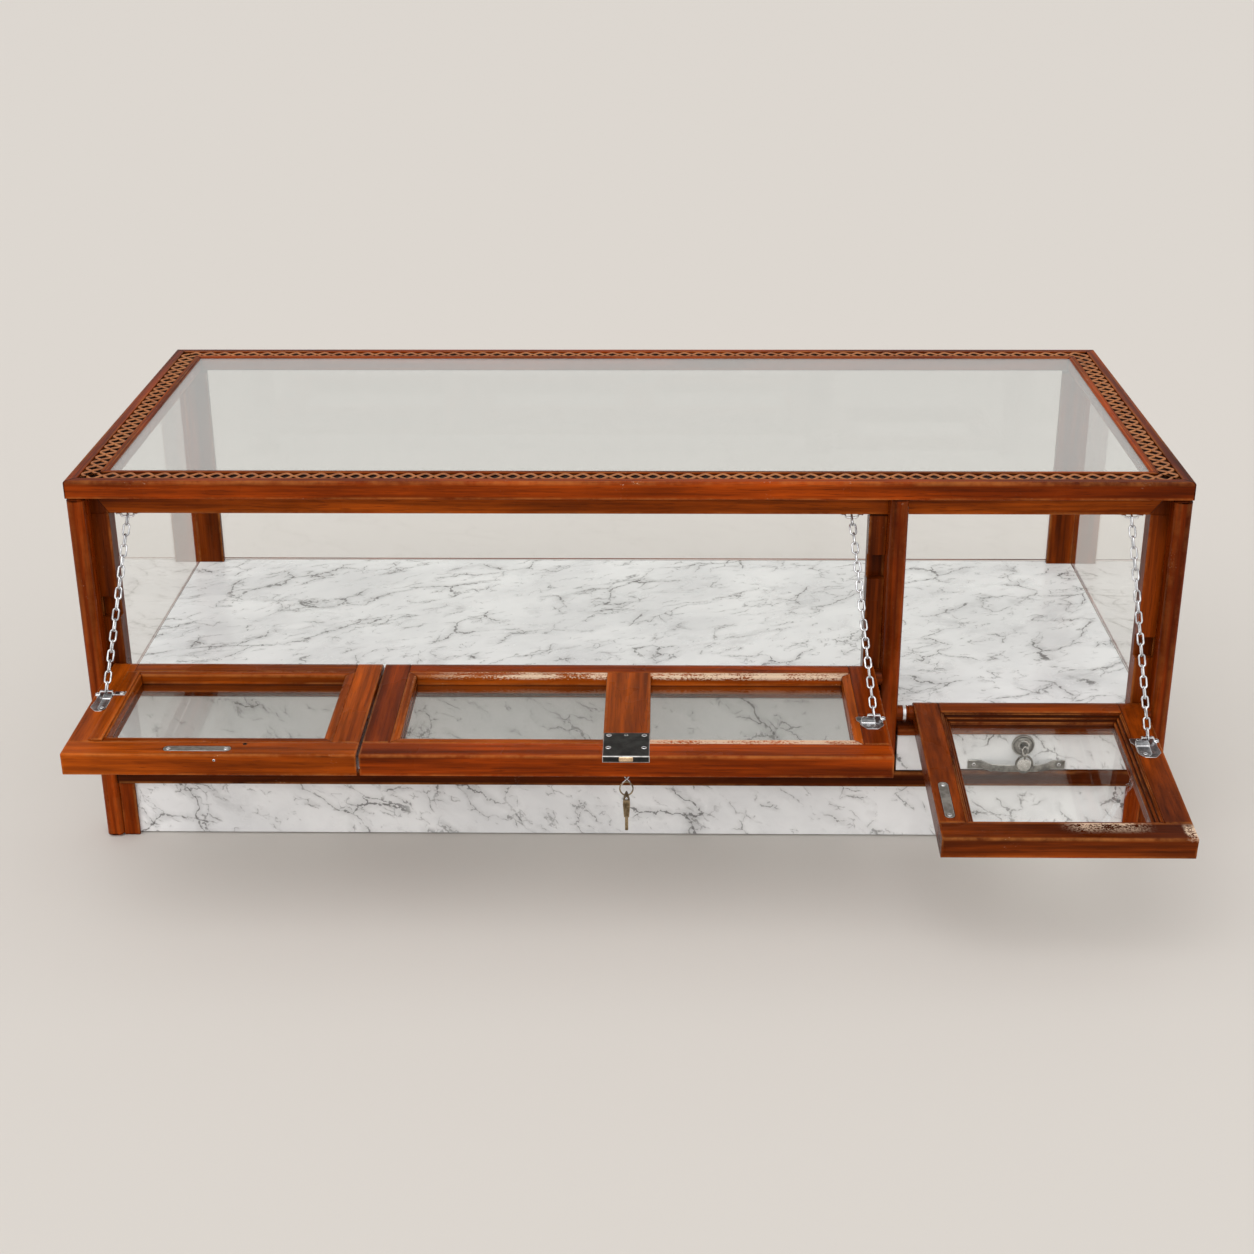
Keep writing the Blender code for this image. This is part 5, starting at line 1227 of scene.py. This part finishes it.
BOW = mirrored([(-0.0535, 0.0014, 0.0128), (-0.0480, 0.0030, 0.0124), (-0.0420, 0.0074, 0.0112),
                (-0.0350, 0.0110, 0.0104), (-0.0260, 0.0128, 0.0102), (-0.0130, 0.0134, 0.0102),
                (0.0, 0.0136, 0.0102)])
BOW_PLACE = ((HANDLE_X, HANDLE_Y, HANDLE_Z), (1, 0, 0), (0, 0, 1), (0, -1, 0))
FOLDED_EAR = [(0.0, 0.0), (0.0040, 0.0010), (0.0100, 0.0016), (0.0160, 0.0012)]
FOLDED_EAR_WIDTH = [0.0070, 0.0068, 0.0056, 0.0030]
FOLDED_EAR_PLACE = ((0.4985, HANDLE_Y - 0.0046, 0.1212), (0.77, 0, -0.64), (0.64, 0, 0.77), (0, -1, 0))
for side, plate in HANDLE_PLATES.items():
    board("handle_" + side + "_plate", slab(*plate, *HANDLE_PLATE_Z, 0.0016), "y", HANDLE_PLATE_Y, PEWTER,
          "drawer_handle", body="drawer", ends=(1, 0))
screws("handle_screws", HANDLE_SCREWS, (0, -1, 0), 0.0026, ZINC, "drawer")
strap("handle_bow", *BOW, 0.0026, BOW_PLACE, PEWTER, "drawer", "drawer_handle")
strap("handle_ear", FOLDED_EAR, FOLDED_EAR_WIDTH, 0.0016, FOLDED_EAR_PLACE, PEWTER, "drawer",
      "drawer_handle")

# Rose and drop pull. A domed pewter rose with a bright ring round its dark knob, and an oval drop
# with a domed disc in it that hangs from the knob by a little bright link and lifts on it.
DARK_PEWTER = metal("dark_pewter", "aged_pewter", (0.22, 0.21, 0.19), (0.05, 0.048, 0.042), 0.34)
BRIGHT_PEWTER = metal("bright_pewter", "aged_pewter", (0.80, 0.79, 0.76), (0.42, 0.41, 0.39), 0.2)
ROSE_X, PULL_Y = joint_place("pull_ring_hinge")[:2]
ROSE_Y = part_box("ring_rose")[1].y
ROSE_Z = 0.5 * sum(span("ring_rose", 2))
ROSE = [(0.0158, 0.0), (0.0160, 0.0012), (0.0153, 0.0024), (0.0141, 0.0029), (0.0131, 0.0024),
        (0.0122, 0.0030), (0.0100, 0.0044), (0.0080, 0.0052), (0.0046, 0.0050)]
ROSE_MASK = [0, 1, 1, 0.3, -0.9, 0, 0.4, 0.2, -0.6]
RIM_RISE = 0.0016
KNOB = [(0.0040, 0.0046), (0.0036, 0.0062), (0.0023, 0.0080), (0.0021, 0.0194), (0.0031, 0.0200),
        (0.0033, 0.0216), (0.0027, 0.0228), (0.0012, 0.0230)]
rose_centre = (ROSE_X, ROSE_Y, ROSE_Z)
forward = (0, -1, 0)
turned("rose_dome", ROSE, rose_centre, forward, PEWTER, "drawer", "ring_rose", columns=48, mask=ROSE_MASK)
rim_angle = circle_angles(12)
rim = np.stack([0.0067 + 0.0017 * np.cos(rim_angle), 0.0056 + 0.0013 * np.sin(rim_angle)], 1)
turned("rose_ring", rim, (ROSE_X, ROSE_Y, ROSE_Z + RIM_RISE), forward, BRIGHT_PEWTER, "drawer",
       "ring_rose", ring=True, smooth=60)
turned("rose_knob", KNOB, rose_centre, forward, DARK_PEWTER, "drawer", "ring_rose", columns=20)
PULL_LINK = (0.1484, 0.0034, 0.0064)
PULL_OVAL = (0.1281, 0.0112, 0.0127)
PULL_DISC = [(0.0060, -0.0012), (0.0098, -0.0008), (0.0100, 0.0004), (0.0090, 0.0009), (0.0060, 0.0013),
             (0.0030, 0.0015), (0.0006, 0.0015)]
PULL_DISC_MASK = [-0.5, -0.6, 0, 0.5, 0.3, 0.3, 0.3]
PULL_DISC_Z = 0.1268
PULL_DROP = [(0.0, 0.0012), (0.0020, 0.0014), (0.0040, 0.0014), (0.0058, 0.0010)]
PULL_DROP_WIDTH = [0.0042, 0.0036, 0.0022, 0.0005]
PULL_DROP_PLACE = ((ROSE_X, PULL_Y, 0.1405), (0, 0, -1), (1, 0, 0), (0, -1, 0))
pull = ("pull_ring", "pull_ring")
wire("pull_link", [oval(ROSE_X, PULL_Y, *PULL_LINK)], FACING, 0.0011, BRIGHT_PEWTER, *pull)
wire("pull_oval", [oval(ROSE_X, PULL_Y, *PULL_OVAL)], FACING, 0.0016, PEWTER, *pull, columns=10)
turned("pull_disc", PULL_DISC, (ROSE_X, PULL_Y, PULL_DISC_Z), forward, BRIGHT_PEWTER, *pull,
       mask=PULL_DISC_MASK)
strap("pull_drop", PULL_DROP, PULL_DROP_WIDTH, 0.0010, PULL_DROP_PLACE, DARK_PEWTER, *pull)

# Stage. A pale seamless floor, a wide soft lamp overhead and a white room that is brightest above,
# with the camera where the photographer's stood: in front, a little right of centre, looking down.
FLOOR_HALF = 30.0
FLOOR_PAPER = (0.645, 0.612, 0.575, 1)
ROOM_WHITE = (1.0, 0.985, 0.965, 1)
BACKDROP = (0.70, 0.66, 0.61, 1)
scene = bpy.context.scene
floor_mesh = bpy.data.meshes.new("floor")
floor_corners = [(FLOOR_HALF * x, FLOOR_HALF * y, 0) for x, y in ((-1, -1), (1, -1), (1, 1), (-1, 1))]
floor_mesh.from_pydata(floor_corners, [], [(0, 1, 2, 3)])
floor = bpy.data.objects.new("floor", floor_mesh)
scene.collection.objects.link(floor)
floor_material, floor_tree, floor_shader = new_material("floor_paper", "floor")
feed(floor_tree, floor_shader, {"Base Color": FLOOR_PAPER, "Roughness": 0.9})
floor_mesh.materials.append(floor_material)

world = bpy.data.worlds.new("room")
world.use_nodes = True
room = world.node_tree
aim = add(room, "ShaderNodeSeparateXYZ", {0: add(room, "ShaderNodeTexCoord").outputs["Generated"]}).outputs
overhead = between(room, aim[2], -0.1, 0.75, 0.22, 0.72)
in_front = between(room, aim[1], 0.2, -0.95, 0.0, 0.84)
light = tinted(room, 1.0, ROOM_WHITE, calc(room, "ADD", overhead, in_front), "MULTIPLY")
sight = add(room, "ShaderNodeLightPath").outputs
seen = calc(room, "MAXIMUM", sight["Is Camera Ray"], sight["Is Transmission Ray"])
feed(room, room.nodes["Background"], {"Color": tinted(room, seen, light, BACKDROP)})
scene.world = world
scene.view_settings.view_transform = "Standard"
lamp_data = bpy.data.lights.new("soft_lamp", "SUN")
lamp_data.energy = 0.85
lamp_data.angle = math.radians(60)
lamp = bpy.data.objects.new("soft_lamp", lamp_data)
lamp.rotation_euler = (math.radians(24), math.radians(-16), 0)
scene.collection.objects.link(lamp)

SENSOR_MM = 36.0
FOCAL_PX = 1928.13
PHOTO_PX = 1254
YAW, PITCH, ROLL = (math.radians(degrees) for degrees in (1.079, 23.477, -0.273))
camera_data = bpy.data.cameras.new("camera")
camera_data.sensor_width = SENSOR_MM
camera_data.lens = SENSOR_MM * FOCAL_PX / PHOTO_PX
camera_data.clip_end = 100
camera = bpy.data.objects.new("camera", camera_data)
across = Vector((math.cos(YAW), math.sin(YAW), 0))
ahead = Vector((-math.sin(YAW), math.cos(YAW), 0)) * math.cos(PITCH) - Vector((0, 0, math.sin(PITCH)))
across = across * math.cos(ROLL) + across.cross(ahead) * math.sin(ROLL)
camera.matrix_world = Matrix((across, across.cross(ahead), -ahead)).transposed().to_4x4()
camera.location = (0.045, FRONT_Y - 2.4135, 1.3797)
scene.collection.objects.link(camera)
scene.camera = camera

bpy.context.view_layer.update()
